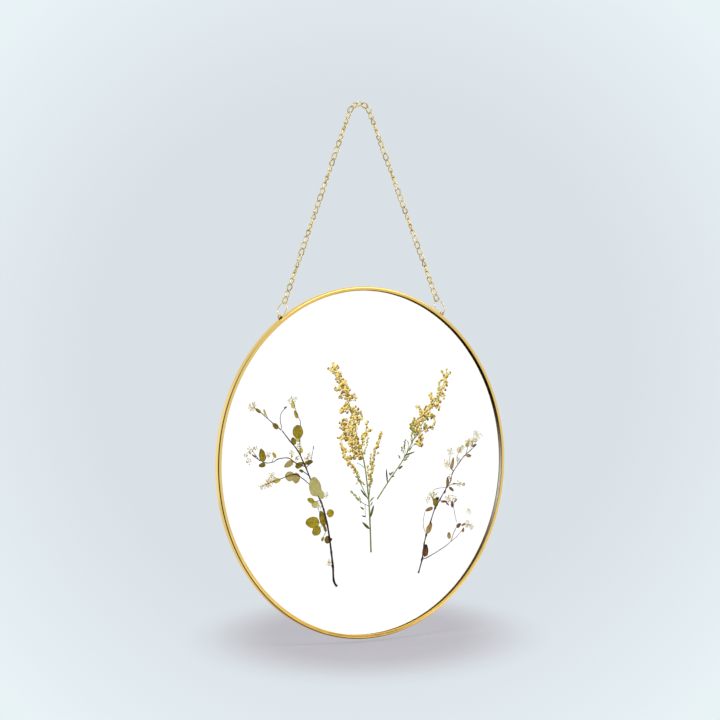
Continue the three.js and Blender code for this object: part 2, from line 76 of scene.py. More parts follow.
class Shape:
    """Closed solids. Each point carries its grain: how far along and across the solid it is, in
    millimetres, and the solid's tint from 0 to 1. Each face carries which material it takes."""

    def __init__(self):
        self.points, self.grains, self.faces, self.paints = [], [], [], []

    def add(self, points, faces, grains, paint=0):
        points = [Vector(p) for p in points]
        volume = 0
        for face in faces:
            a = points[face[0]]
            for i, j in zip(face[1:], face[2:]):
                volume += a.dot(points[i].cross(points[j]))
        if volume < 0:
            faces = [face[::-1] for face in faces]
        start = len(self.points)
        self.points += points
        self.grains += grains
        self.faces += [[start + i for i in face] for face in faces]
        self.paints += [paint] * len(faces)


def make(name, shape, materials, *nodes, body="frame", slot=None):
    """A piece that rides on a body in place of nodes. It works out a slot name from its first
    material's name, which Blender has numbered, unless slot is given, but does not use it."""
    slot = slot or materials[0].name.split(".")[0]
    mesh = bpy.data.meshes.new(name)
    mesh.from_pydata([CENTRE + p * MM for p in shape.points], [], shape.faces)
    for material in materials:
        mesh.materials.append(material)
    mesh.polygons.foreach_set("material_index", shape.paints)
    mesh.polygons.foreach_set("use_smooth", [True] * len(shape.faces))
    grain = mesh.attributes.new("grain", "FLOAT_VECTOR", "POINT")
    grain.data.foreach_set("vector", [x for g in shape.grains for x in g])
    mesh.set_sharp_from_angle(angle=radians(60))
    mesh.update()
    obj = bpy.data.objects.new(name, mesh)
    bpy.context.scene.collection.objects.link(obj)
    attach(obj, body)
    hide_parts(*nodes)
    return obj


def bands(rings, sides, closed):
    """Faces between rings of points, one after another."""
    faces = []
    for i in range(rings if closed else rings - 1):
        a, b = i * sides, (i + 1) % rings * sides
        for j in range(sides):
            k = (j + 1) % sides
            faces.append([a + j, a + k, b + k, b + j])
    if not closed:
        faces.append(list(range(sides)))
        faces.append(list(range((rings - 1) * sides, rings * sides)))
    return faces


def sweep(shape, path, sizes, binormal=(0, 1, 0), sides=8, closed=False, tint=0.5, paint=0):
    """An oval bar along a path: sizes gives (width, depth) at each point, depth along binormal."""
    path = [Vector(p) for p in path]
    if not isinstance(sizes, list):
        sizes = [sizes] * len(path)
    binormal = Vector(binormal)
    points, grains, travelled = [], [], 0
    for i, (here, (width, depth)) in enumerate(zip(path, sizes)):
        behind = path[i - 1] if closed or i else here
        ahead = path[(i + 1) % len(path)] if closed or i + 1 < len(path) else here
        side = binormal.cross(ahead - behind).normalized()
        lift = (ahead - behind).cross(side).normalized()
        travelled += (here - behind).length if i else 0
        for j in range(sides):
            turn = 2 * pi * j / sides
            points.append(here + side * (cos(turn) * width / 2) + lift * (sin(turn) * depth / 2))
            grains.append((travelled, cos(turn) * width / 2, tint))
    shape.add(points, bands(len(path), sides, closed), grains, paint)


def smooth(path, steps):
    """A path through the same points with steps spans between each two."""
    path = [Vector(p) for p in path]
    out = []
    for i in range(len(path) - 1):
        a, b = path[i], path[i + 1]
        before, after = path[max(i - 1, 0)], path[min(i + 2, len(path) - 1)]
        for j in range(steps):
            t = j / steps
            out.append(a * (2 * t**3 - 3 * t**2 + 1) + b * (3 * t**2 - 2 * t**3)
                       + (b - before) / 2 * (t**3 - 2 * t**2 + t) + (after - a) / 2 * (t**3 - t**2))
    return out + [path[-1]]


def stem(shape, path, start, end, tint, knots=0.25):
    """A pressed stem, as thick as it is wide up to FLATTENED, and swollen at each point of path."""
    steps = 5
    line = smooth([(x, 0, z) for x, z in path], steps)
    sizes = []
    for i in range(len(line)):
        knot = 1 - min(i % steps, steps - i % steps) / (steps / 2)
        width = (start + (end - start) * i / (len(line) - 1)) * (0.94 + knots * max(knot, 0) ** 3)
        sizes.append((width, min(width, FLATTENED)))
    sweep(shape, line, sizes, tint=tint)


LEAF_LEVELS = (0, 0.35, 0.65, 0.88, 1)
LEAF_EDGE_WAVES = ((0.022, 3, 1), (0.016, 7, -1))  # height, count and which way the phase shifts it
RIB_HEIGHT, RIB_WIDTH = 0.35, 0.07  # of the leaf's thickness and width


def leaf(shape, centre, length, width, angle, thickness, tint, layer=0.0, lift=0.03,
         fullness=0.22, point=0.12, spokes=28, edge_tint=-0.14, tip_tint=0.0, paint=0):
    """A thin leaf with a soft edge: its tip lies at angle from its middle, from +X towards +Z.
    fullness widens it towards its base, point narrows its tip and lift is how far it waves."""
    phase = centre[0] * 1.7 + centre[1] * 2.9
    turn = radians(angle)
    points, grains = [], []

    def place(reach, spoke, side):
        bearing = 2 * pi * spoke / spokes
        c, s = cos(bearing), sin(bearing)
        edge = 1 + reach * sum(high * sin(waves * bearing + way * phase)
                               for high, waves, way in LEAF_EDGE_WAVES)
        along = length / 2 * c * reach * edge
        across = width / 2 * s * (1 - fullness * c) * (1 - point * max(c, 0) ** 3) * reach * edge
        ridge = exp(-(across / (RIB_WIDTH * width)) ** 2)
        rib = RIB_HEIGHT * thickness * ridge * (1 - reach**2)
        y = layer + side * (thickness / 2 * (1 - reach**4) + rib)
        wave = lift * reach**2 * sin(2 * bearing + phase)
        y += wave + lift * 0.5 * reach * sin(5 * along / length + phase)
        points.append((centre[0] + along * cos(turn) - across * sin(turn), y,
                       centre[1] + along * sin(turn) + across * cos(turn)))
        grains.append((along, across, tint + edge_tint * reach**5 + tip_tint * along / length))

    faces, rows = [], {}
    for side in (-1, 1):
        rows[side] = []
        for reach in LEAF_LEVELS:
            if reach == 0:
                rows[side].append([len(points)])
                place(0, 0, side)
            elif reach < 1 or side < 0:
                rows[side].append(list(range(len(points), len(points) + spokes)))
                for spoke in range(spokes):
                    place(reach, spoke, side)
            else:
                rows[side].append(rows[-1][-1])
        for inner, outer in zip(rows[side], rows[side][1:]):
            for i in range(spokes):
                j = (i + 1) % spokes
                if len(inner) == 1:
                    face = [inner[0], outer[i], outer[j]]
                else:
                    face = [inner[i], outer[i], outer[j], inner[j]]
                faces.append(face if side > 0 else face[::-1])
    shape.add(points, faces, grains, paint)


# Lowest and highest tint of the buds in a group. The last two take the spray's second material.
GOLD = (0.4, 1.08)
DEEP = (0.28, 0.92)
# Painted shade: the darkest buds, for the dense core of the tall spray.
SHADED_CORE = (0.24, 0.42)
GREENISH = (0.25, 0.95)
DARK_GREEN = (0.0, 0.4)
GREENS = (GREENISH, DARK_GREEN)

BUD_SIDES = 8
BUD_RINGS = (0.42, 0.86, 1.0, 0.72)
BUD_HEIGHTS = (-0.92, -0.42, 0.18, 0.78)
CROWDED_BUD = 1.75
BUD_LOBES, LOBE_REACH = 4, 0.2
BUD_DEPTH = 0.84  # the most that fits between the panes
# Painted light on each bud: a highlight towards its upper left, and shade round its outline.
HIGHLIGHT_ABOVE, HIGHLIGHT_LEFT = 0.8, 0.6
PAINTED_HIGHLIGHT, PAINTED_OUTLINE_SHADE = 0.85, 0.5


def bud(shape, middle, size, tint, turn, depth, paint=0):
    """A tiny lobed flower head, its axis turned in the plane of the glass, with a painted highlight
    towards its upper left and painted shade round its outline, so that it is paler towards the
    panes."""
    points, c, s = [], cos(turn), sin(turn)
    for reach, height in zip(BUD_RINGS, BUD_HEIGHTS):
        for j in range(BUD_SIDES):
            angle = 2 * pi * j / BUD_SIDES
            lobe = reach * (1 + LOBE_REACH * cos(angle * BUD_LOBES + height * 2)) * size / 2
            a, b, up = lobe * cos(angle), lobe * sin(angle), height * size / 2
            points.append((middle[0] + a * c - up * s, middle[1] + b / size * depth,
                           middle[2] + a * s + up * c))
    tips = [(middle[0] + s * size * 0.5, middle[1], middle[2] - c * size * 0.5),
            (middle[0] - s * size * 0.5, middle[1], middle[2] + c * size * 0.5)]
    count = len(points)
    faces = bands(len(BUD_RINGS), BUD_SIDES, False)[:-2]
    for j in range(BUD_SIDES):
        k = (j + 1) % BUD_SIDES
        faces.append([k, j, count])
        faces.append([count - BUD_SIDES + j, count - BUD_SIDES + k, count + 1])
    points += tips
    grains = []
    for x, y, z in points:
        # Painted highlight towards the upper left, painted shade at the outline.
        painted_light = ((z - middle[2]) * HIGHLIGHT_ABOVE - (x - middle[0]) * HIGHLIGHT_LEFT) / size
        outer = abs(y - middle[1]) / depth - 0.3
        grains.append((0, 0, tint + PAINTED_HIGHLIGHT * painted_light + PAINTED_OUTLINE_SHADE * outer))
    shape.add(points, faces, grains, paint)


SHOOT, STALK = 0.28, 0.18  # thickness
BUDS_PER_LENGTH = 0.92  # in each row, for each bud's own size
BUD_SPACING = 0.94  # the least in a cluster, in buds
TRIES = 60  # for each bud that a cluster has room for
# A darker bud behind most crowded buds, as painted shade in the gaps between them.
SHADE_BUD_SHIFT, SHADE_BUD_Y, SHADE_BUD_TINT = 1, 0.2, 0.6


def raceme(buds, wood, path, spread, rows, size, tints):
    """A side shoot with buds scattered along it, up to spread away and fewer towards its tip. Those
    that lie away from it have stalks of their own."""
    line = smooth([(x, 0, z) for x, z in path], 6)
    length = sum((b - a).length for a, b in zip(line, line[1:]))
    sweep(wood, line, (SHOOT, SHOOT), sides=5)
    count = max(2, round(length / size * rows * BUDS_PER_LENGTH))
    for i in range(count):
        share = (i + random.random()) / count
        at = share * (len(line) - 1)
        low = min(int(at), len(line) - 2)
        here = line[low].lerp(line[low + 1], at - low)
        along = (line[low + 1] - line[low]).normalized()
        side = Vector((0, 1, 0)).cross(along)
        reach = spread * (1 - 0.45 * share) * random.uniform(-1, 1)
        middle = here + side * reach + along * random.uniform(0.1, 0.8)
        middle.y = random.uniform(-0.12, 0.12)
        big = size * random.uniform(0.9, 1.35)
        turn = atan2(middle.z - here.z, middle.x - here.x) - pi / 2
        bud(buds, middle, big, random.uniform(*tints), turn, min(big, BUD_DEPTH),
            int(tints in GREENS))
        if abs(reach) > size * 0.8:
            bent = here.lerp(middle, 0.5) + along * 0.1
            sweep(wood, [here, bent, middle], (STALK, STALK), sides=4)


def cluster(buds, wood, root, centre, wide, tall, size, tints):
    """Buds crowded into an oval, most with a darker one behind as painted shade between them, and
    some on stalks from root.
    """
    (x, z), placed = centre, []
    for _ in range(int(TRIES * wide * tall / size**2)):
        turn, reach = random.uniform(0, 2 * pi), sqrt(random.random())
        spot = Vector((x + cos(turn) * reach * wide / 2, 0, z + sin(turn) * reach * tall / 2))
        if all((spot - other).length > size * BUD_SPACING for other in placed):
            placed.append(spot)
    for i, spot in enumerate(placed):
        big = size * random.uniform(0.95, 1.3)
        spot.y = random.uniform(-0.13, 0.13)
        outward = atan2(spot.z - root[1], spot.x - root[0]) - pi / 2
        bud(buds, spot, big, random.uniform(*tints), outward + random.uniform(-0.6, 0.6),
            min(big, BUD_DEPTH), int(tints in GREENS))
        # Painted shade: a darker bud behind darkens the gap round this one.
        if i % 4:
            heart = spot + Vector((random.uniform(-SHADE_BUD_SHIFT, SHADE_BUD_SHIFT), 0,
                                   random.uniform(-SHADE_BUD_SHIFT, SHADE_BUD_SHIFT)))
            heart.y = SHADE_BUD_Y
            bud(buds, heart, size, tints[0] * SHADE_BUD_TINT, outward, 0.5)
        if i % 3 == 0:
            start = Vector((root[0], 0, root[1])).lerp(spot, random.uniform(0, 0.5))
            sagging = start.lerp(spot, 0.5) + Vector((0, 0.05, -0.25))
            sweep(wood, smooth([start, sagging, spot], 3), (0.24, 0.24), sides=5)


def crowd(root, tints, *ovals):
    """Clusters for ovals of (x, z, width, height), all with the same root and tints."""
    return [(root, (x, z), wide, tall, CROWDED_BUD, tints) for x, z, wide, tall in ovals]


SPECKS, STAMEN = 9, 0.14
DARK_SPECK, PALE_SPECKS = 0.12, (0.4, 0.7)


def blossom(petals, centre, size, tint, count):
    """Thin petals round a small heart, and specks about them in the second material, every other
    one on a stamen."""
    x, z = centre
    first = random.uniform(0, 360)
    for i in range(count):
        angle = first + 360 * i / count + random.uniform(-16, 16)
        long = size * random.uniform(0.4, 0.56)
        a = radians(angle)
        middle = (x + cos(a) * long * 0.6, z + sin(a) * long * 0.6)
        wide = long * random.uniform(0.5, 0.75)
        leaf(petals, middle, long, wide, angle, thickness=0.05, fullness=-0.2, point=0, spokes=16,
             layer=0.13 * (i - count / 2) / count * 2, lift=0.05, edge_tint=-0.1,
             tint=min(1, tint * random.uniform(0.78, 1.0)))
    bud(petals, (x, 0, z), size * 0.15, 0.2, a, 0.5, paint=1)
    for i in range(SPECKS):
        a = radians(first + 360 / SPECKS * i + random.uniform(-18, 18))
        reach = size * random.uniform(0.2, 0.62)
        tip = Vector((x + cos(a) * reach, -0.14, z + sin(a) * reach))
        if i % 2:
            sweep(petals, [(x, 0, z), tip], (STAMEN, STAMEN), sides=4, tint=0.3, paint=1)
        big = random.uniform(0.5, 0.85)
        speck_tint = DARK_SPECK if i % 3 == 0 else random.uniform(*PALE_SPECKS)
        bud(petals, tip, big, speck_tint, a, 0.3, paint=1)


# ---- materials ----------------------------------------------------------------------------------


def node(tree, kind, settings=None, at=(), **inputs):
    """A new node. An input is a value, or the output that feeds it; at gives inputs in order."""
    made = tree.nodes.new("ShaderNode" + kind)
    for name, value in (settings or {}).items():
        setattr(made, name, value)
    for key, value in [*enumerate(at), *((n.replace("_", " "), v) for n, v in inputs.items())]:
        if isinstance(value, bpy.types.NodeSocket):
            tree.links.new(value, made.inputs[key])
        else:
            made.inputs[key].default_value = value
    return made


def new_material(name):
    material = bpy.data.materials.new(name)
    material.use_nodes = True
    tree = material.node_tree
    tree.nodes.clear()
    return material, tree, tree.nodes.new("ShaderNodeOutputMaterial")


def math_node(tree, operation, *values, clamp=False):
    return node(tree, "Math", {"operation": operation, "use_clamp": clamp}, at=values).outputs[0]


def spread(tree, value, low, high, at_low, at_high, kind="LINEAR"):
    """From at_low to at_high as the value goes from low to high."""
    return node(tree, "MapRange", {"interpolation_type": kind},
                at=[value, low, high, at_low, at_high]).outputs[0]


def ramp(tree, factor, stops):
    made = node(tree, "ValToRGB", at=[factor])
    elements = made.color_ramp.elements
    while len(elements) < len(stops):
        elements.new(0.5)
    for element, (place, colour) in zip(elements, stops):
        element.position = place
        element.color = (*colour, 1)
    return made.outputs["Color"]


STREAK_SCALE = (0.25, 5, 40)
VEIN_SLANT, VEIN_WAVES, VEIN_SHARPNESS, VEIN_SHARE = 0.8, 5.5, 6.0, 0.5
MIDRIB_NARROWNESS = 4.0
BUMP_HEIGHT = 0.05


def grainy(name, stops, size, roughness=(0.5, 0.75), mottle=0.25, bump=0.15, streaks=0.0,
           veins=0.0, metallic=0.0, sheen=0.0):
    """Colour from each solid's tint, mottled by noise of that size in millimetres, with streaks
    along the solid or veins off its midrib, and roughness and bump from the same noise."""
    material, tree, out = new_material(name)
    grain = node(tree, "Attribute", {"attribute_name": "grain"}).outputs["Vector"]
    split = node(tree, "SeparateXYZ", at=[grain]).outputs
    place = node(tree, "TexCoord").outputs["Object"]
    mottling = node(tree, "TexNoise", Vector=place, Scale=1 / (size * MM),
                    Detail=3.0).outputs["Fac"]
    offset = math_node(tree, "MULTIPLY", math_node(tree, "SUBTRACT", mottling, 0.5), mottle * 2)
    value = math_node(tree, "ADD", split["Z"], offset)
    height = mottling
    if streaks:
        stretched = node(tree, "Mapping", at=[grain]).outputs[0]
        stretched.node.inputs["Scale"].default_value = STREAK_SCALE
        lines = node(tree, "TexNoise", Vector=stretched, Scale=1.0, Detail=2.0).outputs["Fac"]
        streak = math_node(tree, "MULTIPLY", math_node(tree, "SUBTRACT", lines, 0.5), streaks * 2)
        value = math_node(tree, "ADD", value, streak)
        height = math_node(tree, "ADD", height, lines)
    if veins:
        away = math_node(tree, "ABSOLUTE", split["Y"])
        slant = math_node(tree, "MULTIPLY", away, VEIN_SLANT)
        phase = math_node(tree, "SUBTRACT", split["X"], slant)
        wave = math_node(tree, "SINE", math_node(tree, "MULTIPLY", phase, VEIN_WAVES))
        crests = math_node(tree, "MAXIMUM", wave, 0.0)
        side_veins = math_node(tree, "POWER", crests, VEIN_SHARPNESS)
        fall = math_node(tree, "MULTIPLY", away, MIDRIB_NARROWNESS)
        midrib = math_node(tree, "SUBTRACT", 1.0, fall, clamp=True)
        lesser = math_node(tree, "MULTIPLY", side_veins, VEIN_SHARE)
        ribs = math_node(tree, "MAXIMUM", lesser, midrib)
        value = math_node(tree, "SUBTRACT", value, math_node(tree, "MULTIPLY", ribs, veins))
        height = math_node(tree, "ADD", height, ribs)
    colour = ramp(tree, value, stops)
    rough = spread(tree, mottling, 0.3, 0.7, *roughness)
    bumped = node(tree, "Bump", Strength=bump, Distance=BUMP_HEIGHT * MM, Height=height).outputs[0]
    shader = node(tree, "BsdfPrincipled", Base_Color=colour, Roughness=rough, Normal=bumped,
                  Metallic=metallic)
    if sheen:
        shader.inputs["Sheen Weight"].default_value = sheen
    if not metallic:
        shader.inputs["Specular IOR Level"].default_value = 0.08
    tree.links.new(shader.outputs[0], out.inputs["Surface"])
    return material


def clear_glass(name):
    """Plain clear glass that lets lamps through to the plants. Its faint tint is barely uneven."""
    material, tree, out = new_material(name)
    place = node(tree, "TexCoord").outputs["Object"]
    cloud = node(tree, "TexNoise", Vector=place, Scale=18.0, Detail=2.0).outputs["Fac"]
    tint = ramp(tree, cloud, [(0.3, (0.982, 0.992, 0.988)), (0.7, (0.99, 0.996, 0.994))])
    shader = node(tree, "BsdfPrincipled", Base_Color=tint, Roughness=0.0, IOR=1.48)
    shader.inputs["Transmission Weight"].default_value = 1
    through = node(tree, "BsdfTransparent", Color=(0.96, 0.97, 0.965, 1))
    shadow = node(tree, "LightPath").outputs["Is Shadow Ray"]
    mixed = node(tree, "MixShader", at=[shadow, shader.outputs[0], through.outputs[0]])
    tree.links.new(mixed.outputs[0], out.inputs["Surface"])
    return material


BRASS = grainy(
    "brass", [(0.0, (0.06, 0.03, 0.004)), (0.3, (0.48, 0.27, 0.04)), (0.6, (0.74, 0.48, 0.11)),
              (1.0, (0.72, 0.57, 0.23))],
    roughness=(0.09, 0.2), size=9, mottle=0.12, bump=0.02, metallic=1.0)
CHAIN_BRASS = grainy(
    "chain_brass", [(0.0, (0.20, 0.15, 0.03)), (0.5, (0.68, 0.54, 0.21)),
                    (1.0, (0.97, 0.89, 0.60))],
    roughness=(0.1, 0.24), size=1.3, mottle=0.6, bump=0.03, metallic=1.0)
# Dark brass for painted shade inside the rim and on the lugs' feet, which are partly dark solder;
# its pale end is a painted reflection.
BRASS_PAINTED_SHADE = grainy(
    "brass_painted_shade", [(0.0, (0.004, 0.002, 0.001)), (0.2, (0.015, 0.009, 0.006)),
                        (0.4, (0.17, 0.13, 0.10)), (1.0, (1.0, 0.97, 0.92))],
    roughness=(0.45, 0.7), size=1.5, mottle=0.08, bump=0.1)
GLASS = clear_glass("clear_glass")
DARK_STEM = grainy(
    "dark_stem", [(0.0, (0.010, 0.001, 0.001)), (0.5, (0.04, 0.008, 0.010)),
                  (1.0, (0.20, 0.115, 0.10))],
    streaks=0.3, size=0.8, bump=0.4)
GREEN_STEM = grainy(
    "green_stem", [(0.0, (0.025, 0.035, 0.006)), (0.5, (0.13, 0.155, 0.028)),
                   (1.0, (0.38, 0.37, 0.12))],
    streaks=0.3, size=0.8, bump=0.3)
OLIVE_LEAF = grainy(
    "olive_leaf", [(0.0, (0.07, 0.04, 0.002)), (0.3, (0.20, 0.145, 0.006)),
                   (0.6, (0.40, 0.30, 0.012)), (1.0, (0.58, 0.50, 0.12))],
    veins=0.24, mottle=0.42, size=1.5, sheen=0.1)
PALE_LEAF = grainy(
    "pale_leaf", [(0.0, (0.24, 0.19, 0.05)), (0.5, (0.46, 0.41, 0.15)), (1.0, (0.70, 0.65, 0.36))],
    veins=0.22, mottle=0.45, size=1.4, sheen=0.1)
BROWN_LEAF = grainy(
    "brown_leaf", [(0.0, (0.02, 0.006, 0.004)), (0.22, (0.15, 0.048, 0.016)),
                   (0.5, (0.27, 0.165, 0.04)), (1.0, (0.53, 0.45, 0.17))],
    veins=0.22, mottle=0.38, size=1.4, sheen=0.1)
BUD = grainy(
    "golden_bud", [(0.0, (0.05, 0.07, 0.006)), (0.12, (0.19, 0.20, 0.02)),
                   (0.24, (0.045, 0.022, 0.002)), (0.48, (0.30, 0.155, 0.008)),
                   (0.72, (0.64, 0.41, 0.035)), (1.0, (0.94, 0.76, 0.30))],
    roughness=(0.6, 0.85), size=0.9, mottle=0.16, bump=0.5, sheen=0.2)
GREEN_BUD = grainy(
    "green_bud", [(0.0, (0.05, 0.065, 0.008)), (0.35, (0.20, 0.19, 0.03)),
                  (0.7, (0.50, 0.43, 0.10)), (1.0, (0.82, 0.74, 0.36))],
    roughness=(0.6, 0.85), size=0.9, mottle=0.16, bump=0.5)
PETAL = grainy(
    "cream_petal", [(0.0, (0.34, 0.18, 0.07)), (0.35, (0.80, 0.68, 0.44)),
                    (0.65, (0.97, 0.93, 0.80)), (1.0, (0.99, 0.99, 0.96))],
    veins=0.1, mottle=0.2, size=1.2, sheen=0.1)

for name in ("glass_front", "glass_back"):
    for material_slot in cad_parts[name].material_slots:
        material_slot.material = GLASS

# ---- rim ----------------------------------------------------------------------------------------


def arc(centre, radius, start, end, steps):
    return [(centre[0] + radius * cos(radians(start + (end - start) * i / steps)),
             centre[1] + radius * sin(radians(start + (end - start) * i / steps)))
            for i in range(steps + 1)]


RIM_SEGMENTS = 288
EDGE_STRIP = 0.5  # how far in from the lips' edges the inside has less painted shade
FOLD = range(9, 13)  # points of the profile in the middle of its front corner
UPPER_RIGHT, THREE_O_CLOCK, LOWER_RIGHT, LOWER_LEFT = 50, 98, 145, 232
PALE_SPAN = 17


def around(turn, middle):
    """From 1 where the rim has turned as far as middle, in degrees, to 0 a quarter turn away."""
    return max(0, cos(turn - radians(middle)))


def rim():
    """A channel rolled from thin sheet, bright outside and darkened inside with painted shade. Its
    turn is measured clockwise from the top, as seen from the front. Its outside has a painted
    highlight at the sides and painted shade towards the bottom, so that it is warmer at the top and
    bottom, with a painted dark reflection in the fold at the lower left and painted shade along the
    lip's edge at the upper right. Its inside has a painted reflection, pale at 3 o'clock and
    lighter at the lower right."""
    half, lip, edge = RIM_DEPTH / 2, RIM_RADIUS - RIM_LIP, RIM_WALL / 2
    corner, inner = RIM_RADIUS - RIM_CORNER, RIM_CORNER - RIM_WALL
    strip, flat = lip + EDGE_STRIP, half - RIM_WALL
    rolled = arc((lip + edge, -half + edge), edge, -180, -90, 4)
    outside = (rolled + [(lip + 0.8, -half)]
               + arc((corner, -half + RIM_CORNER), RIM_CORNER, -90, 0, 10)
               + arc((corner, half - RIM_CORNER), RIM_CORNER, 0, 90, 10)
               + arc((lip + edge, half - edge), edge, 90, 180, 4))
    inside = ([(lip + edge, flat), (strip, flat), (strip + 0.1, flat)]
              + arc((corner, half - RIM_CORNER), inner, 90, 0, 5)
              + arc((corner, -half + RIM_CORNER), inner, 0, -90, 5)
              + [(strip + 0.1, -flat), (strip, -flat), (lip + edge, -flat)])
    profile = outside + inside
    shape = Shape()
    points, grains = [], []
    for i in range(RIM_SEGMENTS):
        turn = 2 * pi * i / RIM_SEGMENTS
        # Painted light: highlight at the sides and shade at the bottom outside, shade on the lip's
        # edge at the upper right, a dark reflection in the fold at the lower left, and inside a
        # pale reflection at 3 o'clock.
        outside_painted_light = 0.68 + 0.24 * abs(sin(turn)) - 0.2 * max(0, -cos(turn))
        shade = around(turn, UPPER_RIGHT)
        fold_painted_shade = 0.9 * around(turn, LOWER_LEFT) ** 1.5
        inside_painted_reflection = (0.1 + 0.17 * around(turn, LOWER_RIGHT)
                      + 0.8 * exp(-((degrees(turn) - THREE_O_CLOCK) / PALE_SPAN) ** 2))
        for j, (radius, y) in enumerate(profile):
            points.append((radius * sin(turn), y, radius * cos(turn)))
            if j < len(outside):
                tint = outside_painted_light
            else:
                tint = 0.35 * (1 - shade) if radius <= strip else inside_painted_reflection
            if j < len(rolled):
                tint -= shade
            if j in FOLD:
                tint -= fold_painted_shade
            grains.append((turn * RIM_RADIUS, y, tint))
    shape.add(points, bands(RIM_SEGMENTS, len(profile), True), grains)
    shape.paints = [int(i % len(profile) >= len(outside)) for i in range(len(shape.paints))]
    make("rim_channel", shape, [BRASS, BRASS_PAINTED_SHADE], "rim")


rim()

# ---- lugs, jump rings and chain -----------------------------------------------------------------

HINGE_RADIUS = RIM_RADIUS + HINGE_ABOVE_RIM
HINGE_X = HINGE_RADIUS * sin(LUG_ANGLE)
HINGE_Z = HINGE_RADIUS * cos(LUG_ANGLE)
BEND_Z = CHAIN_TOP - BEND_RADIUS
HINGE_TO_BEND = hypot(HINGE_X, BEND_Z - HINGE_Z)
LEAN = atan2(HINGE_X, BEND_Z - HINGE_Z) - asin(BEND_RADIUS / HINGE_TO_BEND)
STRAIGHT = sqrt(HINGE_TO_BEND**2 - BEND_RADIUS**2) - 2 * RING_RADIUS
BEND_LENGTH = (pi - 2 * LEAN) * BEND_RADIUS
ROUTE_LENGTH = 2 * STRAIGHT + BEND_LENGTH
LINK_COUNT = 2 * LINKS_PER_SIDE + LINKS_AT_TOP
SEATED = LINK_SEAT * LINK_WIRE
END_ROOM = RING_WIRE / 2 + LINK_WIRE / 2 + LINK_TO_RING
LINK_PITCH = (ROUTE_LENGTH + 2 * END_ROOM - SEATED + 2 * RUN_SLACK) / LINK_COUNT
LINK_REACH = (LINK_PITCH + SEATED) / 2


def chain_route(distance):
    """The point at a distance along the chain from the left jump ring, and the route's turn."""
    from_middle = distance - ROUTE_LENGTH / 2
    side = 1 if from_middle >= 0 else -1
    along_bend = min(abs(from_middle), BEND_LENGTH / 2)
    along_run = abs(from_middle) - along_bend
    turn = along_bend / BEND_RADIUS
    x = side * (BEND_RADIUS * sin(turn) + along_run * cos(turn))
    z = BEND_Z + BEND_RADIUS * cos(turn) - along_run * sin(turn)
    return x, z, -side * turn


def link(shape, index):
    """A smooth oval link, twisted so that its ends cross the next ones and just touch them."""
    radius, steps = (LINK_WIDTH - LINK_WIRE) / 2, 8
    straight = (LINK_PITCH + LINK_WIRE) / 2 - 0.02 - radius
    loop = []
    for side in (1, -1):
        for i in range(steps + 1):
            turn = pi * (i / steps - 0.5) + (0 if side > 0 else pi)
            spot = Vector((side * straight + radius * cos(turn), radius * sin(turn), 0))
            curl = radians(LINK_CURL) / 2 * spot.x / (straight + radius)
            loop.append(Matrix.Rotation(curl, 3, "X") @ spot)
    passed = (index >= LINKS_PER_SIDE) + (index >= LINKS_PER_SIDE + LINKS_AT_TOP)
    distance = LINK_REACH - END_ROOM + index * LINK_PITCH - passed * RUN_SLACK
    x, z, direction = chain_route(distance)
    roll = radians(90 + FIRST_LINK_ROLL + index * LINK_TURN)
    turned = (Matrix.Translation((x, 0, z)) @ Matrix.Rotation(-direction, 4, "Y")
              @ Matrix.Rotation(roll, 4, "X"))
    flat = turned.to_3x3() @ Vector((0, 0, 1))
    sweep(shape, [turned @ p for p in loop], (LINK_WIRE, LINK_WIRE), flat, closed=True,
          tint=0.5 + 0.18 * sin(index * 2.1))


for name, first, count in (("chain_left", 0, LINKS_PER_SIDE),
                           ("chain_top", LINKS_PER_SIDE, LINKS_AT_TOP),
                           ("chain_right", LINKS_PER_SIDE + LINKS_AT_TOP, LINKS_PER_SIDE)):
    run = Shape()
    for i in range(first, first + count):
        link(run, i)
    make(f"{name}_links", run, [CHAIN_BRASS], name, body="chain", slot="brass")

RING_SEAM_AT, RING_SEAM = 215, 1.2  # degrees
RING_STEPS = 44
FOOT = ((0, 0.68, 1.2), (0.6, 0.7, 1.2), (1.2, 0.72, 1.15), (1.65, 0.6, 0.9), (1.8, 0.3, 0.5))

for name, side in (("left", -1), ("right", 1)):
    ring = Shape()
    turned = (Matrix.Translation((side * HINGE_X, 0, HINGE_Z))
              @ Matrix.Rotation(-side * LEAN, 4, "Y") @ Matrix.Translation((0, 0, RING_RADIUS)))
    loop = []
    for i in range(RING_STEPS + 1):
        turn = radians(RING_SEAM_AT + RING_SEAM + (360 - 2 * RING_SEAM) * i / RING_STEPS)
        loop.append(turned @ Vector((0, RING_RADIUS * cos(turn), RING_RADIUS * sin(turn))))
    flat = turned.to_3x3() @ Vector((1, 0, 0))
    sweep(ring, loop, (RING_WIRE, RING_WIRE), flat, sides=12, tint=0.75)
    make(f"jump_ring_{name}_wire", ring, [CHAIN_BRASS], f"jump_ring_{name}", body="chain",
         slot="brass")

    # A staple of bent wire on a foot of dark solder that follows the rim, darkened further as
    # painted shade.
    lug = Shape()
    turned = (Matrix.Rotation(side * LUG_ANGLE, 4, "Y")
              @ Matrix.Translation((0, 0, RIM_RADIUS + 0.05)))
    over = [(-LUG_REACH * cos(radians(a)), 0, 1.1 + LUG_REACH * sin(radians(a)))
            for a in range(0, 181, 15)]
    wire = ([(-LUG_REACH, 0, 0), (-LUG_REACH, 0, 0.6)] + over
            + [(LUG_REACH, 0, 0.6), (LUG_REACH, 0, 0)])
    sweep(lug, [turned @ Vector(p) for p in wire], LUG_WIRE, sides=10, tint=0.45)
    rows = [(-x, *size) for x, *size in FOOT[:0:-1]] + list(FOOT)
    foot = [turned @ Vector((x, 0, 0.36 - x * x / 2 / RIM_RADIUS)) for x, *_ in rows]
    sweep(lug, foot, [tuple(size) for _, *size in rows], sides=10, tint=0.2, paint=1)
    make(f"lug_{name}_wire", lug, [BRASS, BRASS_PAINTED_SHADE], f"lug_{name}")

# ---- leafy sprig, on the left -------------------------------------------------------------------

random.seed(3)

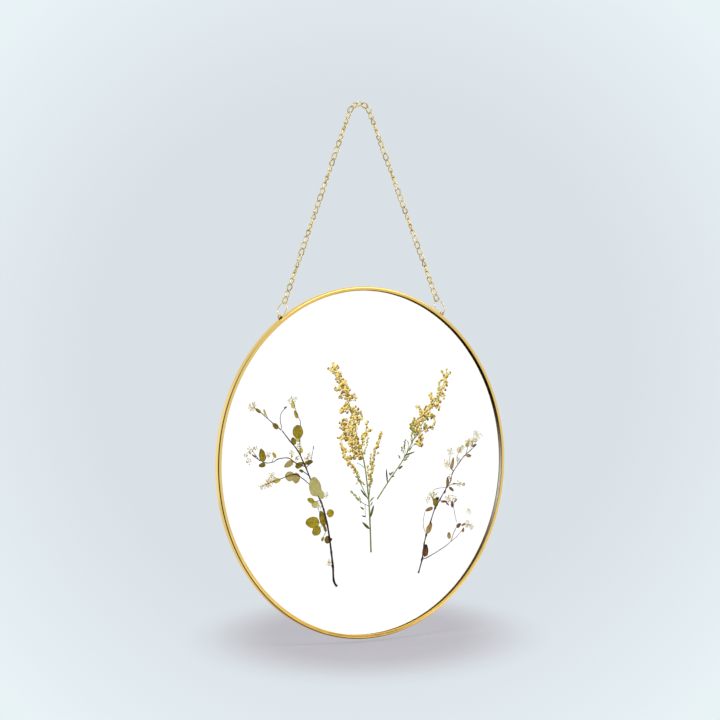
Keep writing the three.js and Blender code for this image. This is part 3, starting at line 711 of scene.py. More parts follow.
sprig = Shape()
stem(sprig, [(-25, -86.5), (-27.7, -82), (-28.2, -72), (-29.5, -62), (-30.7, -53), (-32.7, -42),
             (-35.5, -32), (-37.8, -26), (-42, -18.5), (-46.2, -10.5), (-50.3, -1.5), (-52.7, 3),
             (-57.3, 11), (-63.6, 17.7), (-70, 25)], 1.9, 0.8, tint=0.35)
for path in ([(-38.2, -36), (-39.4, -33), (-40.5, -29.5)], [(-33, -46), (-35, -49), (-37, -52)]):
    stem(sprig, path, 0.5, 0.35, 0.6)
bud(sprig, (-29.5, 0, -53), 2, 0.3, 1.2, 0.5)
bud(sprig, (-28.4, 0, -72), 2.2, 0.1, 0, 0.5)
make("sprig_main_stem", sprig, [DARK_STEM], "sprig_stem")
sprig_leaves, sprig_petals = Shape(), Shape()
leaf(sprig_leaves, (-36.9, -52.5), 3.4, 2.3, 245, thickness=0.3, tint=0.5)
leaf(sprig_leaves, (-34.9, -44.4), 6, 2.5, 110, thickness=0.3, tint=0.3)
leaf(sprig_leaves, (-50.6, 1.4), 4, 2.2, 55, thickness=0.3, tint=0.35)
make("sprig_stem_leaves", sprig_leaves, [OLIVE_LEAF], "sprig_stem")
blossom(sprig_petals, (-31.4, -69.2), 4.6, 0.55, 4)
blossom(sprig_petals, (-33.4, -21.6), 4.6, 0.9, 4)
blossom(sprig_petals, (-39.4, -29.6), 3.6, 0.7, 3)
make("sprig_stem_petals", sprig_petals, [PETAL, BUD], "sprig_stem")

# Each branch: its stems as (path, start, end, tint), then its small leaves as (middle, length,
# width, angle, tint), then petals and blossoms as (middle, size, tint, count).
SPRIG_BRANCHES = {
    "sprig_branch_upper": (
        [([(-70.6, 25.5), (-77.7, 30.5), (-86.5, 37.3), (-94, 42.5)], 0.8, 0.5, 0.5),
         ([(-82, 33.8), (-84.8, 40.6)], 0.5, 0.3, 0.8)],
        [(-75.7, 28.6, 5.8, 3.8, 145, 0.35), (-90.2, 39.8, 5.4, 2.4, 148, 0.4),
         (-84.6, 38.4, 5, 1.8, 112, 1.0)],
        [(-94.5, 41.6, 5.4, 0.6, 5), (-96.8, 43.2, 4, 0.8, 4), (-93.6, 44.4, 3.4, 0.6, 3)]),
    "sprig_branch_curled": (
        [([(-70.3, 26.6), (-71.6, 33), (-70.5, 37.7), (-66.4, 41.2)], 0.6, 0.45, 0.65)],
        [(-67, 41.2, 2.8, 1.4, 25, 0.3)], []),
    "sprig_branch_middle": (
        [([(-54.6, 6.5), (-55.2, 14), (-54.5, 30), (-57, 35.5), (-62, 49)], 0.6, 0.4, 0.6)],
        [(-58.2, 36.2, 6.2, 3, 115, 0.55), (-60.6, 43, 5.6, 3.6, 100, 1.0),
         (-54.4, 11, 4.5, 3.6, 90, 0.85), (-56.8, 19, 4.6, 4, 80, 1.05)],
        [(-63.4, 45.6, 4.4, 0.95, 4), (-56, 13.6, 5, 0.85, 5), (-58.6, 47, 3.4, 0.8, 3)]),
    "sprig_branch_left": (
        [([(-51, -0.8), (-59, 2.2), (-65, 5.8), (-73.6, 5.5), (-78, 3.6), (-84, 3.2), (-90.5, 6),
           (-95.5, 9)], 0.8, 0.5, 0.55),
         ([(-89, 4.5), (-95.6, 12.5)], 0.5, 0.35, 0.6),
         ([(-79, 3.8), (-77.6, 6.4)], 0.4, 0.3, 0.7)],
        [(-77, 8.4, 4.8, 2.6, 125, 0.7), (-55.6, 0.6, 8, 4, 20, 0.3),
         (-93.8, 8.4, 4, 1.4, 150, 0.35), (-97.4, 10.8, 3, 1.1, 130, 0.5),
         (-62, 7.4, 3.4, 1.6, 70, 0.9)],
        [(-97.4, 12.6, 5, 0.9, 5), (-82, 8.6, 3.4, 0.6, 3), (-98.4, 5, 4.2, 0.95, 4),
         (-93.4, 13.8, 3.8, 0.85, 4), (-62.4, 9, 4, 0.75, 4), (-58, 5.4, 3.8, 0.7, 4),
         (-100.4, 9, 3, 0.9, 3)]),
    "sprig_branch_lower": (
        [([(-45.6, -14.6), (-53.6, -8.8), (-60, -5.7), (-71, -8.2), (-87, -12.5)],
          0.75, 0.45, 0.45),
         ([(-74, -9), (-79.6, -5)], 0.4, 0.3, 0.7)],
        [(-74.8, -9.5, 6, 3.6, 10, 0.9)],
        [(-82.4, -11, 6.6, 0.42, 6), (-79.4, -5.8, 4, 0.5, 4), (-87.6, -13.4, 5, 0.9, 5),
         (-78.6, -9.6, 4, 0.5, 4)]),
    "sprig_twig": (
        [([(-47.4, -7.5), (-51.5, -4.8), (-55.5, -2.7)], 0.7, 0.6, 0.4)],
        [(-54.4, -3.6, 4, 2.2, 160, 0.35)], []),
    "sprig_side_shoot": (
        [([(-49.8, -1.2), (-47, 1.2), (-45.6, 4.5), (-43.4, 13.5)], 0.7, 0.35, 0.7)],
        [(-47.2, 2.2, 6, 3.4, 10, 0.2), (-43.6, 12.4, 2.4, 0.9, 105, 0.6)],
        [(-47.4, 6.8, 4.2, 0.75, 4), (-50, 4.6, 3.4, 0.7, 3)]),
}


def branches(table, small_leaf):
    for name, (stems, leaves, blossoms) in table.items():
        woody, leafy, petals = Shape(), Shape(), Shape()
        for path, start, end, tint in stems:
            stem(woody, path, start, end, tint, knots=0.2)
        for x, z, length, width, angle, tint in leaves:
            leaf(leafy, (x, z), length, width, angle, thickness=0.3, tint=tint)
        for x, z, size, tint, count in blossoms:
            blossom(petals, (x, z), size, tint, count)
        make(f"{name}_wood", woody, [DARK_STEM], name)
        if leafy.points:
            make(f"{name}_leaves", leafy, [small_leaf], name)
        if petals.points:
            make(f"{name}_petals", petals, [PETAL, BUD], name)


branches(SPRIG_BRANCHES, OLIVE_LEAF)

# The larger leaves by material, each as (node, middle, length, width, angle, layer, tint, where its
# stalk starts).
LEAVES = [
    (PALE_LEAF, [
        ("sprig_leaf_pale_large", (-43, -15.3), 14, 10.4, 105, "nearFront", 0.5, None),
        ("sprig_leaf_pale_small", (-37.9, -20.8), 7, 5, 115, "front", 0.55, None),
        ("sprig_leaf_pale_low", (-43.2, -27.7), 6, 5, 200, "nearFront", 0.65, (-38, -27)),
    ]),
    (OLIVE_LEAF, [
        ("sprig_leaf_side", (-46.8, -24.7), 6.4, 3.8, 155, "front", 0.55, (-39, -25)),
        ("sprig_leaf_olive_large", (-45, -40.3), 11.8, 8.2, 175, "nearBack", 0.55, (-35, -40)),
        ("sprig_leaf_olive_low", (-41.6, -46.3), 8, 6.8, 215, "back", 0.5, (-34, -42)),
        ("sprig_leaf_olive_stem", (-36.4, -37.7), 11.5, 5.4, 105, "back", 0.4, None),
        ("sprig_leaf_olive_right", (-29.6, -34.5), 6.2, 5.8, 0, "nearBack", 0.6, (-34, -35)),
        ("sprig_leaf_round_low", (-32.3, -53), 5.6, 5.4, 60, "nearBack", 0.25, None),
        ("sprig_leaf_round_top", (-57, 24), 9.6, 9, 100, "nearFront", 0.45, (-55, 13)),
        ("sprig_leaf_top_side", (-60.8, 17.6), 5.6, 4, 120, "front", 0.3, None),
    ]),
    (BROWN_LEAF, [
        ("sprig_leaf_brown_left", (-64, -7), 7.8, 7, 175, "nearBack", 0.85, None),
        ("sprig_leaf_brown_right", (-58.6, -8.4), 7.6, 7, 270, "back", 0.8, None),
        ("sprig_leaf_brown_upper", (-64.6, 1.6), 8.5, 4.4, 205, "nearBack", 0.75, None),
    ]),
    (OLIVE_LEAF, [
        ("sprig_leaf_tip_tall", (-87.3, 8.8), 9.4, 5.6, 105, "nearFront", 0.4, None),
        ("sprig_leaf_tip_low", (-87.5, 1.8), 5.8, 3.4, 190, "nearFront", 0.3, None),
    ]),
    (GREEN_STEM, [
        ("tall_spray_leaf_low", (0.4, -44.6), 7.8, 2, 140, "nearFront", 0.2, (4.4, -47.6)),
        ("tall_spray_leaf_right", (6.2, -34.6), 9, 2, 70, "nearFront", 0.35, (4.6, -39)),
        ("tall_spray_leaf_upper", (-1.4, -21.4), 7.4, 1.3, 130, "nearFront", 0.3, (2.6, -25.6)),
        ("wide_spray_leaf_low", (19.4, -9.8), 10, 1.3, 95, "nearFront", 0.1, (20, -15)),
        ("wide_spray_leaf_upper", (40, 4.9), 9.6, 1.2, 14, "nearFront", 0.3, (34.8, 2.6)),
    ]),
    (BROWN_LEAF, [
        ("twig_leaf_red", (52.9, -65.3), 9, 5.4, 80, "nearFront", 0.2, (50.6, -70.4)),
        ("twig_leaf_lower", (56.6, -49.2), 8.6, 4.4, 60, "nearFront", 0.65, (54.2, -53.8)),
        ("twig_leaf_middle", (73.6, -16.8), 7.2, 2.8, 90, "nearFront", 0.45, (73.4, -20.4)),
        ("twig_leaf_upper", (78.3, -3.3), 8.4, 2.6, 80, "nearFront", 0.6, (78, -9)),
        ("twig_leaf_tip", (93, 1.4), 4.8, 2.6, 355, "nearFront", 0.6, (89.4, 1.5)),
        ("twig_leaf_loose", (74.3, -55.6), 4.9, 3.4, 100, "nearFront", 0.7, None),
    ]),
]
ROUND_LEAF = 0.68  # width over length above which a leaf is round, without a point
BLADE = 0.1  # thickness
RIB_SIZES = [(0.42, 0.17), (0.28, 0.15), (0.1, 0.1)]
STALK_SIZE = (0.45, 0.2)
for material, rows in LEAVES:
    for name, centre, length, width, angle, layer, tint, root in rows:
        blade = Shape()
        y = LAYERS[layer]
        fullness, point = (0.08, 0) if width > ROUND_LEAF * length else (0.22, 0.12)
        leaf(blade, centre, length, width, angle, BLADE, tint, y, fullness=fullness, point=point,
             tip_tint=-0.35 if name.startswith("twig") else -0.1)
        turn = radians(angle)
        base, tip = [Vector((centre[0] + s * cos(turn) * length, y,
                             centre[1] + s * sin(turn) * length)) for s in (-0.48, 0.36)]
        rib, sizes = [base, base.lerp(tip, 0.5), tip], RIB_SIZES
        if root:
            rib, sizes = [Vector((root[0], y * 0.7, root[1])), *rib], [STALK_SIZE, *RIB_SIZES]
        sweep(blade, rib, sizes, sides=6, tint=max(0, tint - 0.2))
        make(f"{name}_blade", blade, [material], name)

# ---- first yellow spray, in the middle ----------------------------------------------------------


def spray(name, stems, racemes, leaves=(), clusters=()):
    """Stems as (path, start, end, tint), racemes as (path, spread, rows, bud size, tints), leaves
    as (x, z, length, width, angle, tint) and clusters as (root, centre, width, height, bud size,
    tints)."""
    wood, buds = Shape(), Shape()
    for path, start, end, tint in stems:
        stem(wood, path, start, end, tint, knots=0.12)
    for path, spread, rows, size, tints in racemes:
        raceme(buds, wood, path, spread, rows, size, tints)
    for root, centre, wide, tall, size, tints in clusters:
        cluster(buds, wood, root, centre, wide, tall, size, tints)
    for x, z, length, width, angle, tint in leaves:
        leaf(wood, (x, z), length, width, angle, thickness=0.25, tint=tint, spokes=16)
    make(f"{name}_wood", wood, [GREEN_STEM], name)
    if buds.points:
        make(f"{name}_buds", buds, [BUD, GREEN_BUD], name)


spray("tall_spray_stem",
      [([(5, -64), (4.3, -39), (2.9, -20), (0, 0), (-5.2, 16), (-9, 31), (-13.3, 43.6),
         (-19.5, 58), (-25.5, 69.5)], 1.5, 0.4, 0.6),
       ([(0.1, -3.6), (-3, -1.4), (-6.5, 0)], 0.5, 0.3, 0.3)],
      [([(-20.4, 59.6), (-28.8, 67.2)], 0.5, 0.9, 1.6, GOLD),
       ([(-22, 62), (-26.6, 71.4)], 0.5, 0.9, 1.6, GOLD),
       ([(-17.2, 52.4), (-23.8, 52.8)], 0.7, 1.2, 1.7, GOLD),
       ([(-12.4, 42), (-15.4, 39), (-19.4, 37.2)], 0.6, 1.2, 1.7, GOLD),
       ([(-6.4, 17), (-12, 18), (-21.6, 18.6)], 0.8, 1.5, 1.7, GOLD),
       ([(-3.4, 8), (-8, 9.6), (-14.6, 9), (-17.8, 11), (-20.2, 14)], 0.8, 1.5, 1.6, GOLD),
       ([(-2.4, 5.6), (-8, 4), (-13.6, 4.2), (-17.8, 5)], 0.9, 2.2, 1.6, DEEP),
       ([(-4, 11), (0, 15.6), (2.2, 22), (2.9, 28.6)], 0.7, 1.0, 1.6, GOLD),
       ([(2.2, 21), (4.8, 22.6), (7.4, 23.6)], 0.7, 1.3, 1.6, GOLD),
       ([(-1.4, 4), (0.6, 8.6), (2.4, 13), (3.6, 17.6)], 0.8, 1.2, 1.4, GREENISH)],
      clusters=[*crowd((-22, 60), GOLD, (-26.2, 70.4, 2.8, 2.6), (-28, 67, 2.6, 2.2),
                       (-22.8, 68.6, 2.6, 2.6), (-24.6, 66, 4, 3.4), (-22.2, 63.6, 5, 4.4),
                       (-21.2, 60.6, 6, 4.2)),
                *crowd((-17.6, 52), GOLD, (-18.4, 58, 7.6, 3.8), (-17.6, 54.6, 6.8, 5.4),
                       (-22.8, 53, 3, 2.6), (-15.6, 57.2, 3, 3), (-13.4, 52.4, 3.4, 2.8)),
                *crowd((-14.6, 47), DEEP, (-15.8, 50.4, 6, 4.2), (-19.2, 47, 3.6, 2.6),
                       (-13.6, 46.4, 5.6, 4.2)),
                *crowd((-13, 44), GOLD, (-9, 48.2, 4.4, 2.8), (-6.6, 45.4, 2.4, 2.6),
                       (-10.4, 45.8, 4, 2.2), (-14, 41.6, 3.6, 3), (-18.4, 37.6, 4.4, 3.6),
                       (-13.6, 38.4, 4.6, 3.2)),
                *crowd((-11, 36), GOLD, (-9.6, 38.8, 4.4, 3.2), (-6.8, 36.4, 5.6, 4.4),
                       (-3.2, 34.4, 4.4, 4.6), (-8.6, 33, 5.6, 3.4), (-2.2, 31.2, 3, 2.6),
                       (-5, 32, 5, 2.6)),
                *crowd((-8.6, 28), GOLD, (-15.6, 29.4, 9, 3.8), (-9.6, 29.2, 5.6, 3.6),
                       (-4.6, 29, 3.6, 2.8), (-16, 25.4, 8, 4.6), (-10.2, 25.2, 5.6, 5.2),
                       (-6.4, 25, 2.6, 4)),
                *crowd((-6.4, 19), DEEP, (-13.6, 21, 9, 4.2), (-8.8, 20.6, 4, 4.6),
                       (-12.8, 17.4, 8, 3.6), (-6.8, 16.6, 4, 4.6)),
                *crowd((-4.4, 13), DEEP, (-9.8, 13.4, 8.4, 3.8), (-4.6, 12.2, 4.8, 5),
                       (-7.8, 9.4, 7.4, 3), (-3.4, 7.4, 4.6, 4.2)),
                *crowd((-18, 8), GOLD, (-16.8, 10, 3.2, 3), (-19.4, 13, 2.4, 2.8),
                       (-18.8, 18.6, 5.6, 2.4)),
                *crowd((-3, 6), DEEP, (-7.6, 6.6, 5, 2.6), (-3.4, 4.2, 4, 2.8),
                       (-12.4, 4, 5, 1.8)),
                # Painted shade at the spray's dense core.
                *crowd((-6, 14), SHADED_CORE, (-6.6, 17.4, 2.6, 3.4), (-7.6, 14.4, 2, 1.6)),
                *crowd((-2, 12), GOLD, (-0.8, 18.6, 3.8, 4.4), (1.8, 20.2, 3, 2.6),
                       (2.9, 28.4, 2.6, 2.2), (5.8, 23.2, 3.6, 2), (-0.6, 13.6, 2.4, 4))])

spray("tall_spray_branch_right",
      [([(3.6, -26), (5, -15.5), (6.2, -6), (9.2, 5), (11.9, 14), (15, 20.2)], 0.9, 0.4, 0.5),
       ([(8.9, 4), (12.6, 6.6)], 0.4, 0.3, 0.5)],
      [([(4.4, -18), (5.4, -10), (6.4, -2), (8.4, 3)], 1.9, 2.8, 1.4, GREENISH),
       ([(4.6, -12), (3.2, -8), (3, -3)], 0.8, 1.8, 1.2, DEEP),
       ([(6, -8), (8.6, -2)], 0.8, 1.8, 1.2, GOLD),
       ([(6.2, -5), (5.6, 1), (5.8, 5.4)], 0.8, 1.3, 1.2, DEEP),
       ([(8.6, 3.4), (9.4, 7), (8.6, 9.8)], 0.8, 1.8, 1.3, GOLD),
       ([(11.2, 6), (12.8, 6.7)], 0.6, 2.0, 1.4, DEEP),
       ([(10.6, 10), (11.9, 14), (13.4, 17), (15.6, 21)], 1.4, 2.4, 1.7, GOLD)])

spray("tall_spray_branch_left",
      [([(2.9, -26), (-4.3, -13), (-10.5, -1.2), (-15.8, 2.6), (-20, 13.2)], 0.8, 0.35, 0.6)],
      [([(-2.6, -15.4), (-5.6, -9.6), (-8.6, -4)], 1.7, 2.4, 1.4, GREENISH),
       ([(-7, -7.4), (-10.4, -2), (-14.6, -0.2)], 1.6, 2.4, 1.6, DEEP),
       ([(-12.6, 0.6), (-16.4, 4), (-18, 8), (-20.2, 13.8)], 1.4, 2.0, 1.6, GOLD),
       ([(-4.4, -12.6), (-6.6, -14.4)], 0.6, 1.2, 1.2, GREENISH)],
      [(-6.6, -10, 3.4, 1, 160, 0.4), (-0.6, -15.4, 2.4, 0.9, 150, 0.4)])

spray("tall_spray_branch_low",
      [([(3.6, -31), (-1.4, -28.8), (-5.7, -25), (-12.3, -20)], 0.6, 0.3, 0.7),
       ([(0.5, -29.4), (0.2, -33.5), (0.6, -38.2)], 0.45, 0.3, 0.6),
       ([(3.9, -28.6), (8.6, -24.6)], 0.5, 0.35, 0.4)],
      [([(-3, -28), (-8, -23.2), (-12.2, -20)], 0.7, 0.9, 1.0, GREENISH)],
      [(-8.6, -22.4, 4, 1.1, 150, 0.75), (-5.4, -26.4, 3.4, 1.1, 165, 0.7),
       (-10.6, -20.6, 3, 1, 120, 0.8), (-2.4, -32.2, 4, 1.2, 148, 0.3), (-1, -38, 4, 1, 165, 0.2),
       (-4.2, -25, 3, 0.9, 120, 0.8), (6.4, -26.2, 4.4, 1, 40, 0.4), (6, -29.4, 4, 0.9, 60, 0.5)])

# ---- second yellow spray, leaning right ---------------------------------------------------------

spray("wide_spray_stem",
      [([(11, -26.4), (23, -12), (34.3, 0.7), (43.8, 15), (53.3, 28.3), (63.3, 41.7), (70.5, 51.5),
         (74.2, 62.5)], 1.2, 0.35, 0.65),
       ([(34.5, 1), (36, 6), (35.5, 12.5)], 0.45, 0.3, 0.8),
       ([(37.6, 6), (39.4, 10.6), (38.6, 14)], 0.4, 0.3, 0.7),
       ([(38, 6.2), (43, 10.6), (48.6, 13.3)], 0.5, 0.35, 0.5)],
      [([(38, 6.2), (43, 10.6), (48.6, 13.3)], 0.3, 0.3, 1.4, GREENISH),
       ([(41.6, 12), (42.2, 18), (42.8, 22), (41.4, 26)], 0.9, 1.4, 1.4, GREENISH),
       ([(45, 18), (44.6, 24), (43.6, 28.4)], 0.8, 1.2, 1.5, GREENISH),
       ([(50.6, 31.6), (50.4, 35), (47.8, 38.4)], 0.6, 1.2, 1.7, GOLD),
       ([(60.4, 39), (60, 44), (58.8, 47)], 0.6, 1.2, 1.6, GOLD),
       ([(67.6, 49), (66.6, 53), (67, 55.4)], 0.6, 1.2, 1.5, GREENISH),
       ([(71, 52), (73.4, 56.4), (74.6, 54.8)], 0.7, 1.3, 1.6, GOLD),
       ([(72, 54), (73, 59), (75.8, 61.4)], 0.6, 1.3, 1.6, GOLD),
       ([(34.8, 8), (35.4, 11.4), (36.4, 14.6)], 0.8, 1.2, 1.2, DARK_GREEN),
       ([(34, 7), (32.8, 9.8)], 0.5, 1.0, 1.1, DARK_GREEN)],
      [(30.9, 3, 3.4, 1, 120, 0.15), (32, -4.6, 4.6, 1.6, 30, 0.35),
       (23.8, -8.6, 4.6, 1.2, 35, 0.3), (22.4, -9, 2.6, 1, 120, 0.3),
       (25, -10.8, 3.4, 1.1, 10, 0.45), (34.6, 6.6, 3, 0.9, 60, 0.8), (38, 2.6, 4.4, 1.3, 30, 0.7),
       (36.4, 0.6, 3.6, 1.2, 20, 0.6), (38.8, 13, 3, 0.8, 110, 0.6), (42.4, 15, 4, 0.9, 80, 0.5),
       (41, 8.4, 4.6, 0.9, 50, 0.7)],
      [*crowd((44, 11), DEEP, (48.6, 12.6, 6.4, 5), (50.6, 16.6, 3.2, 4.6), (50, 11, 3.4, 2.6)),
       *crowd((46, 18), DEEP, (44, 25.6, 4, 4.6), (45.8, 28.4, 3, 3.4)),
       *crowd((45, 16), GREENISH, (42.2, 24, 2, 4.4), (44, 20.6, 2.4, 4)),
       *crowd((47, 19), DEEP, (48.6, 22.8, 4.6, 5.4), (47.8, 27.4, 3, 4.4), (46.6, 20, 3, 3.6)),
       *crowd((53, 28), DEEP, (53.8, 31, 6.6, 4.4), (58.6, 31.8, 5.4, 2.6), (52, 28.6, 3, 3)),
       *crowd((56, 32), GOLD, (51, 33.4, 4.2, 4.6), (55.6, 35, 5.4, 4.2), (48, 38, 2.6, 2.2),
              (56.2, 37.8, 3, 2.4)),
       *crowd((61, 39), GOLD, (60.6, 38.6, 5, 4), (65.6, 37.8, 4.4, 3.6), (62, 43, 3.6, 2.6),
              (59.2, 46.6, 3, 2.4)),
       *crowd((65, 44), GOLD, (66.6, 42.2, 4.2, 3.6), (70.6, 45.2, 3.4, 3.4),
              (67.6, 47.4, 4.6, 4)),
       *crowd((69, 49), GOLD, (69.4, 51, 6, 4.4), (66.9, 55, 2, 1.8), (73.8, 54.8, 3, 2.6),
              (71.6, 57.2, 2.8, 2.8)),
       *crowd((73, 59), GOLD, (73, 60, 3.4, 2.8), (75.4, 61.4, 2.2, 2), (71, 62.2, 2.6, 1.8),
              (73.8, 64.4, 2.4, 2.4))])

spray("wide_spray_branch",
      [([(43.5, 14.4), (48.5, 18.6), (55, 22.2), (60.2, 23), (62.3, 27.2), (61.5, 31)],
        0.6, 0.35, 0.5)],
      [([(60.6, 24), (62.6, 27), (61.8, 31.6)], 0.5, 1.3, 1.6, GOLD)],
      clusters=[((52, 21), (55.4, 21.6), 4, 3.6, 1.7, DEEP),
                ((54, 22), (54.4, 24.6), 2.8, 2.2, 1.6, GREENISH),
                ((57, 22.6), (59.6, 22.8), 3.8, 2.4, 1.7, DEEP),
                ((62, 27), (61.8, 30.8), 2.6, 2.6, 1.7, GOLD)])

# ---- blossom twig, on the right -----------------------------------------------------------------

# The leaves as in the branches, with which of the two materials each takes.
TWIG_LEAVES = ((62.9, -31, 6.4, 4.8, 90, 0.35, 1), (61, -29.4, 4.4, 2, 110, 0.5, 1),
               (64.4, -28.6, 3.4, 2.8, 40, -0.3, 0), (98.6, 8.6, 4.6, 1.4, 20, 0.15, 0),
               (71.4, -23.6, 3.6, 1.4, 250, 0.15, 0), (77.2, -6.4, 3.6, 2, 100, 0.6, 1),
               (91.6, 9.6, 4, 2.4, 70, 0.7, 1), (96.4, 10.6, 3.4, 2, 100, 0.5, 1),
               (59.6, -27, 3, 1.6, 150, 0.7, 1))
TWIG_BLOSSOMS = ((73.2, -4, 5.4, 0.6, 5), (76.6, 5, 6, 0.85, 5), (85, 5.6, 5, 0.45, 5),
                 (87.4, 7.6, 4, 0.8, 4), (93, 11.4, 5.6, 0.45, 5), (95.6, 9, 4.4, 0.6, 4),
                 (98, 12.6, 4, 0.6, 4), (101.6, 15.4, 7, 0.9, 5), (99.4, 17.4, 5, 0.9, 5),
                 (59, -25.6, 5.4, 0.85, 5), (62, -25.4, 4, 0.6, 4), (84, -1, 3, 0.7, 3),
                 (76, -13.6, 3.6, 0.85, 3), (55.6, -28.6, 4, 0.95, 4))
twig, twig_leaves, twig_petals = Shape(), Shape(), Shape()
stem(twig, [(46.6, -81.2), (50, -71.6), (52, -61), (54, -54.3), (57.9, -45.3), (62.3, -35),
            (66.5, -29.5), (73.3, -20.2), (76.7, -16.2), (78.2, -10.8), (85, -2.8), (89.2, 1.3),
            (94.6, 5), (100.3, 9)], 1.2, 0.5, 0.55, knots=0.5)
for path in ([(79.2, -9.2), (74, -4)], [(83.2, -4.6), (82.5, 0.6), (85.5, 6.2)],
             [(90.8, 2.6), (93.6, 12)], [(98.5, 7.8), (100.6, 15)], [(62, -30.6), (58, -25)],
             [(78.6, -9), (76, -3), (76.4, 4)]):
    stem(twig, path, 0.45, 0.3, 0.85)
for x, z, length, width, angle, tint, paint in TWIG_LEAVES:
    leaf(twig_leaves, (x, z), length, width, angle, thickness=0.3, tint=tint, spokes=18,
         paint=paint)
for x, z, size, tint, count in TWIG_BLOSSOMS:
    blossom(twig_petals, (x, z), size, tint, count)
for x, z in ((50, -71.6), (54, -54.3), (62.4, -35), (73.4, -20)):
    bud(twig, (x, 0, z), 2, 0.2, 0.5, 0.5)
make("twig_main_stem", twig, [DARK_STEM], "twig_stem")
make("twig_stem_leaves", twig_leaves, [BROWN_LEAF, OLIVE_LEAF], "twig_stem")
make("twig_stem_petals", twig_petals, [PETAL, BUD], "twig_stem")

TWIG_BRANCHES = {
    "twig_branch_low": (
        [([(50.6, -71.2), (55, -70.3), (70, -63.7), (76.6, -59.6)], 0.8, 0.5, 0.65),
         ([(76.2, -59.9), (79.8, -52.2), (83.3, -48.7), (92, -49)], 0.5, 0.35, 0.75),
         ([(76.2, -59.9), (81.7, -56.6), (87.8, -51)], 0.45, 0.4, 0.75)],
        [(83.4, -48.7, 4.8, 3, 35, 0.3), (87.4, -52.2, 3.6, 2, 75, 0.4),
         (88, -48.2, 4.4, 1.6, 25, 0.5)],
        [(91.6, -48.4, 5, 0.7, 5), (95, -50.4, 4, 0.95, 4), (92.6, -39, 5, 0.95, 4)]),
    "twig_tendril_left": (
        [([(54, -53.8), (51.9, -48.7), (51.7, -42.8), (53.3, -37)], 0.4, 0.35, 0.95)],
        [(56.8, -35.8, 7, 2.8, 195, 0.5)], []),
    "twig_tendril_upper": (
        [([(72.6, -20.8), (64.2, -21.2), (60.4, -22.6)], 0.4, 0.35, 0.95)], [], []),
    "twig_branch_right": (
        [([(73.9, -19.9), (80, -18.4), (89.4, -19.3)], 0.5, 0.35, 0.7)],
        [(77.2, -22.2, 5.2, 2.2, 325, 0.35), (80, -18.4, 3.4, 1.2, 0, 0.4)],
        [(84.6, -18.6, 5, 0.9, 4), (88.6, -19.2, 2.4, 0.5, 3)]),
    "twig_branch_middle": (
        [([(66.7, -30), (71.7, -31), (77.5, -31.4), (80, -40.3), (81.4, -46.2)], 0.5, 0.35, 0.9)],
        [(77.8, -33, 5, 2.8, 95, 0.35), (70.4, -30.8, 5.4, 1.8, 0, 0.3),
         (73.4, -32.6, 4, 1.4, 320, 0.35), (81, -30.6, 3.6, 1.3, 40, 0.5)],
        [(74.2, -28.4, 5, 0.6, 5), (79.4, -29.4, 4.6, 0.9, 4)]),
}
branches(TWIG_BRANCHES, BROWN_LEAF)

# ---- camera -------------------------------------------------------------------------------------

AZIMUTH, ELEVATION, ROLL = (radians(x) for x in (-35.605, 2.96, -0.692))
DISTANCE = 2.5
PIXELS_PER_MM = 1.4089
FOCAL_PIXELS = PIXELS_PER_MM * DISTANCE / MM
IMAGE = 720
SENSOR = 36
MIDDLE_IN_PICTURE = (363.85 - IMAGE / 2, IMAGE / 2 - 462.64)

# back, right and up are the object's, turned to the camera. The camera looks ahead.
back = Vector((sin(AZIMUTH) * cos(ELEVATION), -cos(AZIMUTH) * cos(ELEVATION), sin(ELEVATION)))
right = Vector((cos(AZIMUTH), sin(AZIMUTH), 0))
up = back.cross(right)
right, up = (cos(ROLL) * right + sin(ROLL) * up, cos(ROLL) * up - sin(ROLL) * right)
ahead = (-back * FOCAL_PIXELS - right * MIDDLE_IN_PICTURE[0]
         - up * MIDDLE_IN_PICTURE[1]).normalized()
across = ahead.cross(up).normalized()

camera = bpy.data.objects.new("camera", bpy.data.cameras.new("camera"))
camera.matrix_world = Matrix.Translation(CENTRE + back * DISTANCE) @ Matrix(
    (across, across.cross(ahead), -ahead)).transposed().to_4x4()
camera.data.sensor_width = SENSOR
camera.data.lens = FOCAL_PIXELS / IMAGE * SENSOR
camera.data.clip_end = 50
bpy.context.scene.collection.objects.link(camera)
bpy.context.scene.camera = camera
bpy.context.scene.view_settings.view_transform = "Standard"

# ---- floor --------------------------------------------------------------------------------------

# Clear but for a painted shadow, soft and dark, under the object, so that the backdrop goes on
# below it.
FLOOR_Z, FLOOR_RADIUS, FLOOR_RINGS, FLOOR_SIDES = -0.3795, 1.6, 24, 96
SHADOW_BACK = 0.06
SHADOW_SIZE = (0.137, 0.35, 1000)
SHADOW_COLOUR = (0.26, 0.21, 0.245)
SHADOW_EDGE, SHADOW_DEPTH = 0.45, 0.54

floor_points = []
for i in range(FLOOR_RINGS + 1):
    for j in range(FLOOR_SIDES):
        turn = 2 * pi * j / FLOOR_SIDES
        reach = FLOOR_RADIUS * i / FLOOR_RINGS
        floor_points.append((reach * cos(turn), reach * sin(turn), FLOOR_Z))
floor_mesh = bpy.data.meshes.new("floor")
floor_mesh.from_pydata(floor_points, [], bands(FLOOR_RINGS + 1, FLOOR_SIDES, False)[:-2])
floor = bpy.data.objects.new("floor", floor_mesh)
bpy.context.scene.collection.objects.link(floor)
material, tree, out = new_material("pale_floor")
place = node(tree, "TexCoord").outputs["Object"]
# The painted shadow: an oval turned to the camera and set a little back.
shadow_place = node(tree, "Mapping", {"vector_type": "TEXTURE"}, at=[place]).outputs[0]
shadow_place.node.inputs["Location"].default_value = (-SHADOW_BACK * back.x, -SHADOW_BACK * back.y, 0)
shadow_place.node.inputs["Rotation"].default_value = (0, 0, AZIMUTH)
shadow_place.node.inputs["Scale"].default_value = SHADOW_SIZE
away = node(tree, "VectorMath", {"operation": "LENGTH"}, at=[shadow_place]).outputs["Value"]
solid = spread(tree, away, SHADOW_EDGE, 1.0, SHADOW_DEPTH, 0.0, "SMOOTHSTEP")
